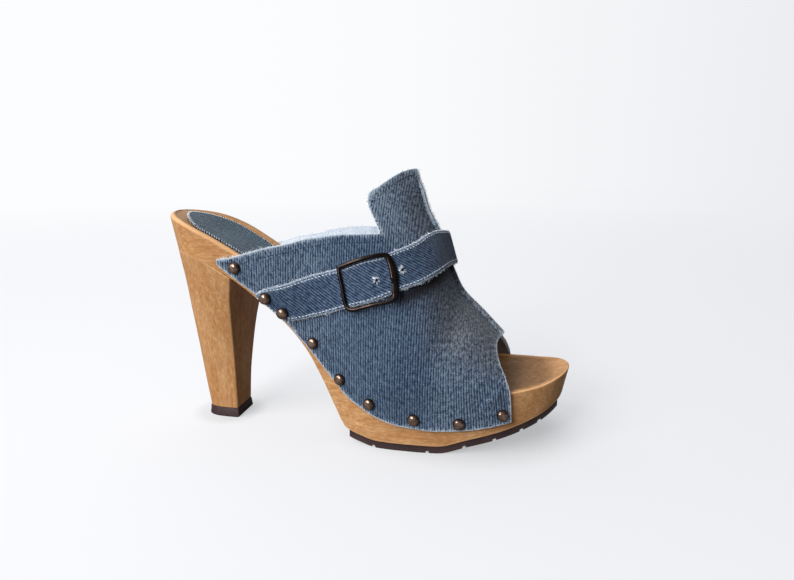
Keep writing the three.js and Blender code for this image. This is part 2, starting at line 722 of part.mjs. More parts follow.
/** Turn at which one side of the last form reaches a level. */
function turnAtLevel(x, level, side) {
  let [low, high] = [-1, 1];
  for (let i = 0; i < 30; i += 1) {
    const middle = (low + high) / 2;
    if (lastPoint(x, middle, side).z < level) low = middle;
    else high = middle;
  }
  return (low + high) / 2;
}

// Nails along each hem as [share of LENGTH, turn]; strap marks those through the strap's end.
const NAILS = [
  { at: [0.223, -0.49] },
  { at: [0.297, -0.7], strap: true },
  { at: [0.337, -0.67], strap: true },
  { at: [0.407, -0.65] },
  { at: [0.476, -0.76] },
  { at: [0.5475, -0.76] },
  { at: [0.649, -0.74] },
  { at: [0.748, -0.76] },
  { at: [0.8406, -0.62] },
];

/** Lathed solid about +Z. */
function lathed(profile, segments) {
  const points = profile.map(([radius, height]) => new THREE.Vector2(radius, height));
  const geometry = new THREE.LatheGeometry(points, segments).rotateX(Math.PI / 2);
  geometry.deleteAttribute("normal");
  geometry.deleteAttribute("uv");
  return outward(withoutSlivers(mergeVertices(geometry, 1e-3)));
}

function nailGeometry(length) {
  const radius = NAIL_HEAD / 2;
  const shank = NAIL_SHANK / 2;
  return lathed([
    [0, -length],
    [shank, -length],
    [shank, 0],
    [radius, 0],
    [radius * 0.93, NAIL_DOME * 0.45],
    [radius * 0.6, NAIL_DOME * 0.86],
    [0, NAIL_DOME],
  ], 8);
}

/** Where each nail's head sits and which way it points. */
const nailPlaces = [OUTER, INNER].flatMap((side) => {
  return NAILS.map(({ at: [share, turn], strap: onStrap }, i) => {
    const x = share * LENGTH;
    const normal = lastNormal(x, turn, side);
    const height = (onStrap ? STRAP_SEAT + STRAP_THICK : WALL) + GAP;
    return {
      name: `nail_${side === OUTER ? "outer" : "inner"}_${i + 1}`,
      point: lastPoint(x, turn, side).addScaledVector(normal, height),
      turn: new THREE.Quaternion().setFromUnitVectors(new THREE.Vector3(0, 0, 1), normal),
      length: NAIL_LENGTH + (onStrap ? STRAP_THICK : 0),
    };
  });
});

/** Cutters for the nail holes, a little wider than the shanks. */
const nailHoles = nailPlaces.map(({ point, turn, length }) => {
  const radius = NAIL_SHANK / 2 + GAP;
  const hole = lathed([[0, -length - GAP], [radius, -length - GAP], [radius, 2], [0, 2]], 6);
  return hole.applyQuaternion(turn).translate(...point.toArray());
});

// Sock pad on the seat and shank
const PAD_END = 0.45;

function sockPad() {
  const start = PAD_MARGIN + 1;
  const end = PAD_END * LENGTH;
  const half = (x) => {
    const round = roundEnd(x - start, 22, 2) * roundEnd(end - x, 20, 2);
    return Math.max(halfAt(x) - PAD_MARGIN, 0) * round;
  };
  const loop = (height, inset) => Array.from({ length: 36 }, (_, k) => {
    const angle = (2 * Math.PI * k) / 36;
    const x = mix(start + inset, end - inset, (1 - Math.cos(angle)) / 2);
    const side = Math.sign(Math.round(Math.sin(angle) * 1e6));
    const y = centreAt(x) - side * Math.max(half(x) - inset, 0);
    return new THREE.Vector3(x, y, footbedLevel(x, y) + height);
  });
  const skin = new Skin();
  const loops = [loop(GAP, 0), loop(GAP + PAD_THICK - 0.4, 0), loop(GAP + PAD_THICK, 0.5)];
  const shares = range(4);
  skin.rows(loops, true);
  skin.rows(acrossRows(loops[0], shares, (x, y) => footbedLevel(x, y) + GAP));
  const top = acrossRows(loops.at(-1), shares, (x, y) => footbedLevel(x, y) + GAP + PAD_THICK);
  skin.rows(top.map((row) => row.reverse()));
  return skin.geometry();
}

function node(name, geometry, material) {
  const mesh = new THREE.Mesh(geometry, MATERIALS[material]);
  mesh.name = name;
  return mesh;
}

const clog = new THREE.Group();
clog.name = "clog";
clog.add(
  node("wooden_sole", cut(woodenSole(), nailHoles), "wood"),
  node("heel_block", heelBlock(), "wood"),
  node("top_lift", topLift(), "rubber"),
  node("outsole", outsole(), "rubber"),
  node("sock_pad", sockPad(), "denim"),
  node("upper", cut(upper(), nailHoles), "denim"),
  node("strap", cut(strap(), nailHoles), "strap"),
  node("buckle", buckle(), "iron"),
);
for (const { name, point, turn, length } of nailPlaces) {
  const nail = node(name, nailGeometry(length), "brass");
  nail.position.copy(point);
  nail.quaternion.copy(turn);
  clog.add(nail);
}

// Origin at the middle of the footprint's box, on the floor.
const middle = new THREE.Box3().setFromObject(clog).getCenter(new THREE.Vector3());
clog.position.set(-middle.x, -middle.y, 0);

export default clog;
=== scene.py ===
import math

import bmesh
import bpy
import numpy as np
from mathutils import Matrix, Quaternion, Vector, kdtree


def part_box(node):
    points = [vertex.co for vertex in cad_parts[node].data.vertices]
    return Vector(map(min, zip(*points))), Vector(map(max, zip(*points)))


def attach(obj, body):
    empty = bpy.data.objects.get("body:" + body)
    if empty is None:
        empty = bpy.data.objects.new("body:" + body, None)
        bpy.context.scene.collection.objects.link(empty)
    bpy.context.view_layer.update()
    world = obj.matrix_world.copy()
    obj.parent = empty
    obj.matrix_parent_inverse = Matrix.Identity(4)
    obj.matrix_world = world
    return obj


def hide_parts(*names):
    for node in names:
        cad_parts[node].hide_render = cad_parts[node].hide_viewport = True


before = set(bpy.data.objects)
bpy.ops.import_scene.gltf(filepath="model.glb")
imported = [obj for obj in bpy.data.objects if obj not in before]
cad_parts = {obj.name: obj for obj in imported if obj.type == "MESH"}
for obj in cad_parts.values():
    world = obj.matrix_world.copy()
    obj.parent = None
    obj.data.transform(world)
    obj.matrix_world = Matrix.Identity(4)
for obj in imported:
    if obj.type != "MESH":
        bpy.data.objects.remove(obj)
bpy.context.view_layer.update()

# The studio: a pale sweep of floor, white daylight from a wide window on the left,
# and the camera low beside the shoe, a little towards its toe.
VIEW_AZIMUTH = math.radians(10.386)
VIEW_ELEVATION = math.radians(11.295)
VIEW_ROLL = math.radians(0.221)
VIEW_DISTANCE = 0.3521
VIEW_TARGET = Vector((0.01413, 0.0109, 0.07357))
VIEW_LENS = 28.36
FLOOR_RADIUS = 4.0
FLOOR_COLOUR = (0.28, 0.28, 0.286)
FLOOR_BOUNCE = (0.20, 0.195, 0.19)
GLOW_LEFT = (0.606, 0.612, 0.627)
GLOW_RIGHT = (0.466, 0.472, 0.484)
SKY_LEFT = (0.975, 0.982, 0.998)
SKY_RIGHT = (0.77, 0.78, 0.81)
ROOM_LEFT = (0.58, 0.605, 0.65)
ROOM_RIGHT = (0.10, 0.104, 0.114)
# Painted contact shadow on the floor's glow round the wood: how far round each part, in metres, and the share of
# the glow left in the middle.
SHELTERS = (("outsole", 0.012), ("top_lift", 0.010))
SHELTERED = 0.82


def node(tree, kind, inputs=(), **settings):
    """Adds a shader node. Each input is a number, a colour or another node's output."""
    made = tree.nodes.new(kind)
    for name, value in settings.items():
        setattr(made, name, value)
    for name, value in dict(inputs).items():
        if isinstance(value, bpy.types.NodeSocket):
            tree.links.new(value, made.inputs[name])
        else:
            made.inputs[name].default_value = value
    return made


def rgba(colour):
    return (*colour, 1.0)


def mixed(tree, factor, first, second):
    """Colour between two colours."""
    ends = [end if isinstance(end, bpy.types.NodeSocket) else rgba(end) for end in (first, second)]
    return node(tree, "ShaderNodeMix", {0: factor, 6: ends[0], 7: ends[1]}, data_type="RGBA").outputs[2]


def math_node(tree, operation, first, second=0.0, clamp=False):
    return node(tree, "ShaderNodeMath", {0: first, 1: second}, operation=operation, use_clamp=clamp).outputs[0]


def times(tree, first, second, clamp=False):
    return math_node(tree, "MULTIPLY", first, second, clamp)


def plus(tree, first, second, clamp=False):
    return math_node(tree, "ADD", first, second, clamp)


def vector_node(tree, operation, first, second=(0, 0, 0)):
    made = node(tree, "ShaderNodeVectorMath", {0: first, 1: second}, operation=operation)
    return made.outputs["Value" if operation == "LENGTH" else "Vector"]


def ranged(tree, value, low, high, to_low=0.0, to_high=1.0, **settings):
    """A value spread from one range to another, kept inside it."""
    inputs = {"Value": value, "From Min": low, "From Max": high, "To Min": to_low, "To Max": to_high}
    return node(tree, "ShaderNodeMapRange", inputs, **settings).outputs["Result"]


def fed(tree, shader, **outputs):
    """Links outputs to the shader's inputs of those names."""
    for label, output in outputs.items():
        tree.links.new(output, shader.inputs[label.replace("_", " ")])


def material(name, **constants):
    """A material with a Principled shader; its constant values are set on the shader itself."""
    made = bpy.data.materials.new(name)
    made.use_nodes = True
    shader = made.node_tree.nodes["Principled BSDF"]
    for label, value in constants.items():
        shader.inputs[label.replace("_", " ")].default_value = value
    return made, made.node_tree, shader


def aimed(name, data, place, target, roll=0.0):
    """An object of the studio at a place, looking at a target."""
    made = bpy.data.objects.new(name, data)
    turn = (target - place).to_track_quat("-Z", "Y") @ Quaternion((0, 0, 1), roll)
    made.location = place
    made.rotation_euler = turn.to_euler()
    bpy.context.scene.collection.objects.link(made)
    return made


view_back = Vector((
    math.sin(VIEW_AZIMUTH) * math.cos(VIEW_ELEVATION),
    -math.cos(VIEW_AZIMUTH) * math.cos(VIEW_ELEVATION),
    math.sin(VIEW_ELEVATION),
))
camera_data = bpy.data.cameras.new("camera")
camera_data.lens = VIEW_LENS
camera_data.clip_start = 0.01
camera = aimed("camera", camera_data, VIEW_TARGET + view_back * VIEW_DISTANCE, VIEW_TARGET, VIEW_ROLL)
bpy.context.scene.camera = camera
bpy.context.scene.view_settings.view_transform = "Standard"

SUNS = [
    {"name": "window", "place": (-0.85, -0.9, 1.05), "spread": 42, "power": 2.3, "colour": (1, 0.985, 0.96)},
    {"name": "ceiling", "place": (-0.45, 0.9, 1.1), "spread": 80, "power": 0.65, "colour": (0.96, 0.98, 1)},
]
for light in SUNS:
    data = bpy.data.lights.new(light["name"], "SUN")
    data.angle = math.radians(light["spread"])
    data.energy = light["power"]
    data.color = light["colour"]
    aimed(light["name"], data, Vector(light["place"]), Vector((0, 0, 0)))
pane_data = bpy.data.lights.new("pane", "AREA")
pane_data.size = 0.32
pane_data.energy = 9
pane = aimed("pane", pane_data, Vector((-0.42, -1.15, 0.55)), Vector((0, 0, 0.06)))


def daylight(tree, to_right, left, right):
    """Colour that falls off from the window's side to the other; to_right runs from -1 to 1."""
    share = ranged(tree, to_right, -0.45, 0.9, interpolation_type="SMOOTHSTEP")
    return mixed(tree, share, left, right)


world = bpy.data.worlds.new("world")
bpy.context.scene.world = world
world.use_nodes = True
sky = world.node_tree
direction = node(sky, "ShaderNodeTexCoord").outputs["Generated"]
sideways = node(sky, "ShaderNodeSeparateXYZ", {"Vector": direction}).outputs["X"]
seen = daylight(sky, sideways, SKY_LEFT, SKY_RIGHT)
lit = daylight(sky, sideways, ROOM_LEFT, ROOM_RIGHT)
ray = node(sky, "ShaderNodeLightPath").outputs["Is Camera Ray"]
fed(sky, sky.nodes["Background"], Color=mixed(sky, ray, lit, seen))

bpy.ops.mesh.primitive_circle_add(vertices=96, radius=FLOOR_RADIUS, fill_type="NGON")
floor = bpy.context.object
floor.name = "floor"
floor_finish, tree, shader = material("floor", Roughness=0.9, Specular_IOR_Level=0)
place = node(tree, "ShaderNodeTexCoord").outputs["Object"]
sideways = node(tree, "ShaderNodeSeparateXYZ", {"Vector": place}).outputs["X"]
away = vector_node(tree, "LENGTH", place)
to_right = math_node(tree, "DIVIDE", sideways, plus(tree, away, 0.35))
distance = ranged(tree, away, 0.5, 2.1)
shelter = None
for name, spread in SHELTERS:
    low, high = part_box(name)
    centred = vector_node(tree, "SUBTRACT", place, tuple((low + high) / 2))
    shrunk = tuple(1 / (abs(size) / 2 + spread) for size in (high - low).to_2d()) + (0,)
    out = vector_node(tree, "LENGTH", vector_node(tree, "MULTIPLY", centred, shrunk))
    open_air = ranged(tree, out, 0.7, 1.15, SHELTERED, interpolation_type="SMOOTHSTEP")
    shelter = times(tree, open_air, shelter) if shelter else open_air
# Painted light: the floor's glow, seen only by the camera, is brighter on the window's side and carries the
# painted contact shadow round the wood.
glow = node(tree, "ShaderNodeVectorMath", {0: daylight(tree, to_right, GLOW_LEFT, GLOW_RIGHT), "Scale": shelter},
            operation="SCALE").outputs[0]
glow = mixed(tree, distance, glow, daylight(tree, to_right, SKY_LEFT, SKY_RIGHT))
ray = node(tree, "ShaderNodeLightPath").outputs
bounced = mixed(tree, ray["Is Diffuse Ray"], mixed(tree, distance, FLOOR_COLOUR, (0, 0, 0)), FLOOR_BOUNCE)
fed(tree, shader, Base_Color=bounced, Emission_Color=glow, Emission_Strength=ray["Is Camera Ray"])
floor.data.materials.append(floor_finish)

# Wooden sole: one piece of pale hardwood, sawn to the foot's outline, its footbed hollowed,
# its arrises rounded over by hand and the whole lacquered honey brown.
MM = 0.001
LENGTH = 221
BALL_WIDTH = 75
SEAT_LEVEL = 118.3
SEAT_BOARD = 20
SEAT_DEPTH = 45
PLATFORM = 27.2
TOE_RISE = 7
TOE_SPRING = 15
TREAD = 4
GAP = 0.3
ARRIS = 3
FOOT_ARRIS = 1.2
DISH = 2.2
SEAT_CUP = 2.3
SEAT_ARRIS = 2.2
TOE_ARRIS = 0.8
HEEL_ROUND = 30
TOE_ROUND = 56
SEAT_BACK = 1.5
BACK_SLOPE = 4.9
TOE_SLOPE = 3.3
PLATFORM_BASE = TREAD + GAP
FOREFOOT_LEVEL = PLATFORM_BASE + PLATFORM
BALL_HALF = BALL_WIDTH / 2
# The shoe's own millimetres start at the heel's back, with the heel block in the middle.
BACK_OF_WOOD = SEAT_BACK + 0.1 * BACK_SLOPE
SHOE_ORIGIN = np.array((
    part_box("wooden_sole")[0].x - BACK_OF_WOOD * MM,
    (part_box("heel_block")[0].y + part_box("heel_block")[1].y) / 2,
    0,
))


def table(names, *rows):
    """Named columns of a short table."""
    return dict(zip(names.split(), np.array(rows, float).T))


def through(xs, ys):
    """Smooth curve through points that never overshoots them."""
    slopes = np.diff(ys) / np.diff(xs)
    before = np.concatenate([slopes[:1], slopes])
    after = np.concatenate([slopes, slopes[-1:]])
    same = before * after > 0
    tangents = np.where(same, 2 * before * after / np.where(same, before + after, 1), 0)

    def value(x):
        i = np.clip(np.searchsorted(xs, x, side="right") - 1, 0, len(xs) - 2)
        span = xs[i + 1] - xs[i]
        t = np.clip((x - xs[i]) / span, 0, 1)
        flat = ys[i] * (1 + 2 * t) * (1 - t) ** 2 + ys[i + 1] * t * t * (3 - 2 * t)
        return flat + span * (tangents[i] * t * (1 - t) ** 2 + tangents[i + 1] * t * t * (t - 1))

    return value


# along: share of LENGTH; centre and half: shares of half the ball width; top and low: shares
# of the rise from forefoot to seat; tip and spring: shares of TOE_RISE and TOE_SPRING.
SOLE = table(
    "along centre half top low tip spring",
    (0.0, 0.0, 0.787, 1.0, 0.995, 0, 0),
    (0.068, 0.0, 0.787, 0.957, 0.99, 0, 0),
    (0.136, 0.0, 0.787, 0.887, 0.943, 0, 0),
    (0.195, -0.01, 0.77, 0.808, 0.872, 0, 0),
    (0.271, -0.024, 0.74, 0.685, 0.742, 0, 0),
    (0.339, -0.035, 0.71, 0.54, 0.605, 0, 0),
    (0.385, -0.035, 0.7, 0.443, 0.47, 0, 0),
    (0.428, -0.04, 0.72, 0.347, 0.291, 0, 0),
    (0.457, -0.048, 0.75, 0.287, 0.154, 0, 0),
    (0.484, -0.053, 0.785, 0.237, 0.048, 0, 0),
    (0.515, -0.045, 0.84, 0.185, 0.022, 0, 0),
    (0.565, -0.03, 0.91, 0.112, 0.0, 0, 0),
    (0.611, -0.01, 0.955, 0.07, 0.0, 0, 0),
    (0.7, 0.045, 1.0, 0.01, 0.0, 0, 0),
    (0.77, 0.1, 1.0, 0.0, 0.0, 0, 0.25),
    (0.85, 0.15, 1.0, 0.0, 0.0, 0.08, 0.53),
    (0.92, 0.18, 1.0, 0.0, 0.0, 0.3, 0.85),
    (1.0, 0.18, 1.0, 0.0, 0.0, 1.0, 1.4),
)
sole = {name: through(SOLE["along"], column) for name, column in SOLE.items()}


def share_of(x):
    return np.clip(x / LENGTH, 0, 1)


def round_end(distance, length):
    """Round end of an outline: 0 at the very end, 1 from the length of the round inwards."""
    inside = 1 - np.clip(distance / length, 0, 1)
    return np.sqrt(1 - inside**2)


def centre_at(x):
    return sole["centre"](share_of(x)) * BALL_HALF


def half_at(x):
    ends = round_end(x, HEEL_ROUND) * round_end(LENGTH - x, TOE_ROUND)
    return sole["half"](share_of(x)) * BALL_HALF * ends


def rim_level(x):
    rise = sole["top"](share_of(x)) * (SEAT_LEVEL - FOREFOOT_LEVEL)
    return FOREFOOT_LEVEL + rise + sole["tip"](share_of(x)) * TOE_RISE


def under_level(x):
    rise = sole["low"](share_of(x)) * (SEAT_LEVEL - SEAT_BOARD - PLATFORM_BASE)
    return PLATFORM_BASE + rise + sole["spring"](share_of(x)) * TOE_SPRING


def smooth_step(value, low, high):
    t = np.clip((value - low) / (high - low), 0, 1)
    return t * t * (3 - 2 * t)


def footbed_level(x, y):
    """Footbed inside the rounded arris, dished across."""
    share = np.clip(np.abs(y - centre_at(x)) / (half_at(x) - ARRIS + 0.01), 0, 1)
    ends = np.minimum(1, np.minimum(x, LENGTH - x) / HEEL_ROUND)
    cupped = SEAT_CUP * (1 - share**6) * smooth_step(x, 3, 36) * (1 - smooth_step(share_of(x), 0.2, 0.45))
    return rim_level(x) - DISH * ends * (1 - share**2) - cupped


def arris_at(x):
    """Radius of the rim's arris: generous round the seat, tighter at the toe."""
    return SEAT_ARRIS + (TOE_ARRIS - SEAT_ARRIS) * smooth_step(share_of(x), 0.3, 0.7)


def unit(vectors):
    return vectors / np.maximum(np.linalg.norm(vectors, axis=-1, keepdims=True), 1e-9)


class Shape:
    """Grids and threads in the shoe's millimetres, gathered into one mesh with values at its points."""

    def __init__(self):
        self.points, self.faces, self.finishes, self.values = [], [], [], {}
        self.count = 0

    def add(self, points, index, finish, values):
        """index: numbered points, rows x columns of them, any number of such sheets."""
        corners = (index[..., :-1, :-1], index[..., 1:, :-1], index[..., 1:, 1:], index[..., :-1, 1:])
        quads = np.stack(corners, -1).reshape(-1, 4) + self.count
        self.faces.append(quads)
        self.finishes.append(np.full(len(quads), finish))
        self.points.append(points.reshape(-1, 3))
        for name, value in values.items():
            self.values.setdefault(name, []).append(np.broadcast_to(value, points.shape[:-1]).ravel())
        self.count += len(self.points[-1])

    def grid(self, points, wrap=False, finish=0, **values):
        points = np.asarray(points, float)
        index = np.arange(points[..., 0].size).reshape(points.shape[:-1])
        if wrap:
            index = np.concatenate([index, index[:, :1]], 1)
        self.add(points, index, finish, values)

    def threads(self, paths, radii, sides=3, **values):
        """Round threads: paths is threads x points x 3, radii threads x points."""
        along = unit(np.gradient(paths, axis=1))
        side = unit(np.cross(along, (0.31, 0.52, 0.79)))
        up = np.cross(along, side)
        turn = 2 * np.pi * np.arange(sides) / sides
        ring = side[:, :, None] * np.cos(turn)[:, None] + up[:, :, None] * np.sin(turn)[:, None]
        points = paths[:, :, None] + ring * radii[:, :, None, None]
        index = np.arange(points[..., 0].size).reshape(points.shape[:-1])
        index = np.concatenate([index, index[:, :, :1]], 2)
        spread = {name: np.asarray(value, float)[..., None, None] for name, value in values.items()}
        self.add(points, index, 0, spread)

    def build(self, name, finishes, sharp=42):
        """The mesh as an object, in metres of the frame, with its points merged."""
        mesh = bpy.data.meshes.new(name)
        points = np.concatenate(self.points) * MM + SHOE_ORIGIN
        mesh.from_pydata(points.tolist(), [], np.concatenate(self.faces).tolist())
        for label, parts in self.values.items():
            column = mesh.attributes.new(label, "FLOAT", "POINT")
            column.data.foreach_set("value", np.concatenate(parts).astype(np.float32))
        mesh.polygons.foreach_set("material_index", np.concatenate(self.finishes).astype(np.int32))
        work = bmesh.new()
        work.from_mesh(mesh)
        bmesh.ops.remove_doubles(work, verts=work.verts, dist=2e-6)
        bmesh.ops.recalc_face_normals(work, faces=work.faces)
        work.to_mesh(mesh)
        work.free()
        mesh.polygons.foreach_set("use_smooth", np.ones(len(mesh.polygons), bool))
        mesh.set_sharp_from_angle(angle=math.radians(sharp))
        for finish in finishes:
            mesh.materials.append(finish)
        made = bpy.data.objects.new(name, mesh)
        bpy.context.scene.collection.objects.link(made)
        return made


def across_rows(loop, columns, level):
    """Rows across a loop whose points k and count - k lie at the same x."""
    half = len(loop) // 2
    left = loop[: half + 1]
    right = loop[(len(loop) - np.arange(half + 1)) % len(loop)]
    shares = np.linspace(0, 1, columns)[:, None]
    rows = left[:, None] * (1 - shares) + right[:, None] * shares
    rows[:, 1:-1, 2] = level(rows[:, 1:-1, 0], rows[:, 1:-1, 1])
    return rows


OUTLINE_POINTS = 320


def outline_loop(inset, level, down=0.0):
    """Loop round the sole, moved in by a share of the arris; down: share of the slope of both ends."""
    turn = 2 * np.pi * np.arange(OUTLINE_POINTS) / OUTLINE_POINTS
    x = (1 - np.cos(turn)) / 2 * LENGTH
    side = np.sign(np.round(np.sin(turn), 6))
    inset = inset * arris_at(x)
    inside = np.maximum(half_at(x) - inset, 0) * side
    back = (SEAT_BACK + inset + down * BACK_SLOPE) * (1 - np.minimum(1, x / SEAT_DEPTH))
    front = (inset + down * TOE_SLOPE) * (1 - np.minimum(1, (LENGTH - x) / TOE_ROUND))
    placed = x + back - front
    return np.stack([placed, centre_at(x) - inside, level(placed)], -1)


def wooden_sole():
    shape = Shape()
    quarter = np.linspace(0, np.pi / 2, 6)

    def foot(x):
        """Radius of the lower arris: crisp under the heel, rounder along the platform."""
        return 0.25 + (FOOT_ARRIS - 0.25) * smooth_step(share_of(x), 0.2, 0.4)

    loops = [
        outline_loop(0.2 * math.cos(a), lambda x: under_level(x) + foot(x) * (1 - math.cos(a)), 1)
        for a in quarter[:-2]
    ]
    walls = np.linspace(0, 1, 9)
    for share in walls:
        loops.append(outline_loop(
            0,
            lambda x: (under_level(x) + foot(x)) * (1 - share) + (rim_level(x) - arris_at(x)) * share,
            0.93 - 0.83 * share,
        ))
    # Lighter arrises: partly lacquer rubbed off, partly painted highlight along the rounded edges; the top arris
    # is lightest at its middle.
    worn = [0.4] * len(quarter[:-2]) + [0.0] * len(walls)
    for a in quarter[1:]:
        down = 0.1 * math.cos(a)
        bend = 1 - math.cos(a)
        loops.append(outline_loop(bend, lambda x: rim_level(x) - arris_at(x) * (1 - math.sin(a)), down))
        worn.append(math.sin(2 * a) * 0.9 + 0.1)
    shape.grid(loops, wrap=True, worn=np.array(worn)[:, None], trod=0)
    shape.grid(across_rows(loops[0], 9, lambda x, y: under_level(x)), worn=0, trod=0)
    top = across_rows(loops[-1], 25, footbed_level)
    # Painted shade where the upper covers the footbed: from about 1.2 mm inside the rim, fading out at the toe's
    # end and towards the seat.
    inwards = half_at(top[..., 0]) - np.abs(top[..., 1] - centre_at(top[..., 0]))
    trod = 0.86 * smooth_step(inwards, 1.2, 6) * smooth_step(LENGTH - top[..., 0], 3, 16)
    trod *= smooth_step(share_of(top[..., 0]), 0.3, 0.5)
    shape.grid(top, worn=0, trod=trod)
    return shape


def shader_group(name, inputs, outputs):
    """A node group with named sockets. inputs: name and default; outputs: name and kind."""
    tree = bpy.data.node_groups.new(name, "ShaderNodeTree")
    for label, default in inputs.items():
        kind = "NodeSocketFloat" if isinstance(default, (int, float)) else "NodeSocketVector"
        socket = tree.interface.new_socket(label, in_out="INPUT", socket_type=kind)
        socket.default_value = default
    for label, kind in outputs.items():
        tree.interface.new_socket(label, in_out="OUTPUT", socket_type="NodeSocket" + kind)
    return tree, tree.nodes.new("NodeGroupInput").outputs, tree.nodes.new("NodeGroupOutput").inputs


def noise(tree, vector, scale, detail=3.0, roughness=0.5, distortion=0.0):
    inputs = {"Vector": vector, "Scale": scale, "Detail": detail, "Roughness": roughness, "Distortion": distortion}
    return node(tree, "ShaderNodeTexNoise", inputs).outputs[0]


def stretched(tree, vector, factors):
    return vector_node(tree, "MULTIPLY", vector, factors)


def bumped(tree, height, strength, distance):
    """The normal of a surface with a fine relief; distance in metres."""
    return node(tree, "ShaderNodeBump", {"Height": height, "Strength": strength, "Distance": distance}).outputs[0]


# Wood grain runs along the X of the vector that it gets, in millimetres.
grain, given, gives = shader_group(
    "wood_grain",
    {"Vector": (0, 0, 0)},
    {"Figure": "Float", "Streak": "Float", "Pores": "Float"},
)
slow = noise(grain, stretched(grain, given["Vector"], (0.010, 0.11, 0.11)), 1.0, 4.0, 0.55, 0.6)
rings = times(grain, slow, 9.0)
bands = math_node(grain, "PINGPONG", rings, 1.0)
streak = noise(grain, stretched(grain, given["Vector"], (0.06, 1.9, 1.9)), 1.0, 5.0, 0.65)
pores = noise(grain, stretched(grain, given["Vector"], (0.35, 4.2, 4.2)), 1.0, 2.0, 0.5)
figure = plus(grain, times(grain, bands, 0.55), times(grain, slow, 0.5), clamp=True)
grain.links.new(figure, gives["Figure"])
grain.links.new(streak, gives["Streak"])
grain.links.new(ranged(grain, pores, 0.60, 0.72), gives["Pores"])

WOOD_DARK = (0.260, 0.108, 0.036)
WOOD_MID = (0.425, 0.205, 0.079)
WOOD_LIGHT = (0.520, 0.292, 0.137)
WOOD_PALE_AND_HIGHLIGHT = (0.760, 0.450, 0.220)
# Dark brown of the painted shade on the footbed under the upper.
FOOTBED_SHADE = (0.098, 0.047, 0.015)


def value_of(tree, name):
    """The output of a value kept at the mesh's points."""
    return node(tree, "ShaderNodeAttribute", attribute_name=name).outputs["Fac"]


def position_mm(tree):
    place = node(tree, "ShaderNodeTexCoord").outputs["Object"]
    return stretched(tree, place, (1 / MM, 1 / MM, 1 / MM))


def lacquered_wood(name, upright=False):
    """Honey lacquered hardwood; upright turns its grain along the heel's height."""
    made, tree, shader = material(
        name, Roughness=0.48, Specular_IOR_Level=0.04, Coat_Weight=0.06, Coat_Roughness=0.25, Coat_IOR=1.45,
    )
    place = position_mm(tree)
    if upright:
        parts = node(tree, "ShaderNodeSeparateXYZ", {"Vector": place}).outputs
        turned = {"X": parts["Z"], "Y": parts["X"], "Z": parts["Y"]}
        place = node(tree, "ShaderNodeCombineXYZ", turned).outputs[0]
    wood = node(tree, "ShaderNodeGroup", node_tree=grain)
    tree.links.new(place, wood.inputs["Vector"])
    figure, streaks, pores = wood.outputs
    fleck = noise(tree, stretched(tree, place, (0.3, 0.8, 0.8)), 1.0, 3.0, 0.6)
    colour = mixed(tree, ranged(tree, figure, 0.2, 0.85), WOOD_MID, WOOD_LIGHT)
    colour = mixed(tree, ranged(tree, streaks, 0.48, 0.74, 0, 0.6), colour, WOOD_DARK)
    colour = mixed(tree, ranged(tree, streaks, 0.46, 0.3, 0, 0.35), colour, WOOD_PALE_AND_HIGHLIGHT)
    colour = mixed(tree, times(tree, pores, 0.4), colour, WOOD_DARK)
    colour = mixed(tree, ranged(tree, fleck, 0.52, 0.72, 0, 0.4), colour, WOOD_DARK)
    colour = mixed(tree, ranged(tree, fleck, 0.46, 0.3, 0, 0.4), colour, WOOD_PALE_AND_HIGHLIGHT)
    blotch = noise(tree, place, 0.06, 4.0)
    colour = mixed(tree, ranged(tree, blotch, 0.45, 0.75, 0, 0.4), colour, WOOD_DARK)
    trod = value_of(tree, "trod")
    # Painted shade of the upper over the footbed, varying with the grain's streaks; the coat is thinned there too.
    trodden = times(tree, trod, ranged(tree, streaks, 0.38, 0.62, 0.62, 1.0))
    colour = mixed(tree, trodden, colour, FOOTBED_SHADE)
    # Painted highlight together with rubbed lacquer: lighter on the arrises and the heel's corners.
    colour = mixed(tree, times(tree, value_of(tree, "worn"), 0.75), colour, WOOD_PALE_AND_HIGHLIGHT)
    height = plus(tree, times(tree, streaks, 0.6), times(tree, pores, -0.5))
    fed(tree, shader, Base_Color=colour, Roughness=ranged(tree, streaks, 0.3, 0.8, 0.4, 0.56),
        Coat_Weight=ranged(tree, trod, 0, 0.8, 0.06, 0), Normal=bumped(tree, height, 0.25, 0.00012))
    return made


sole_wood = wooden_sole().build("sole_wood", [lacquered_wood("sole_wood")])
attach(sole_wood, "root")
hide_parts("wooden_sole")

# Heel block: a tapering block of the same wood glued under the seat, round at the back,
# with a flat front and crisp front corners.
HEEL_TIP_WIDTH = 19.4
TOP_LIFT = 5.2
HEEL = table(
    "up back front half square",
    (0.0, 0.405, 0.822, 0.0, 3.4),
    (0.18, 0.345, 0.83, 0.06, 3.1),
    (0.38, 0.295, 0.85, 0.2, 2.9),
    (0.6, 0.24, 0.88, 0.42, 2.7),
    (0.82, 0.192, 0.935, 0.73, 2.5),
    (1.0, 0.155, 1.0, 0.985, 2.45),
)
heel = {name: through(HEEL["up"], column) for name, column in HEEL.items()}
SEAT_HALF = SOLE["half"][0] * BALL_HALF
CORNER = 1.1


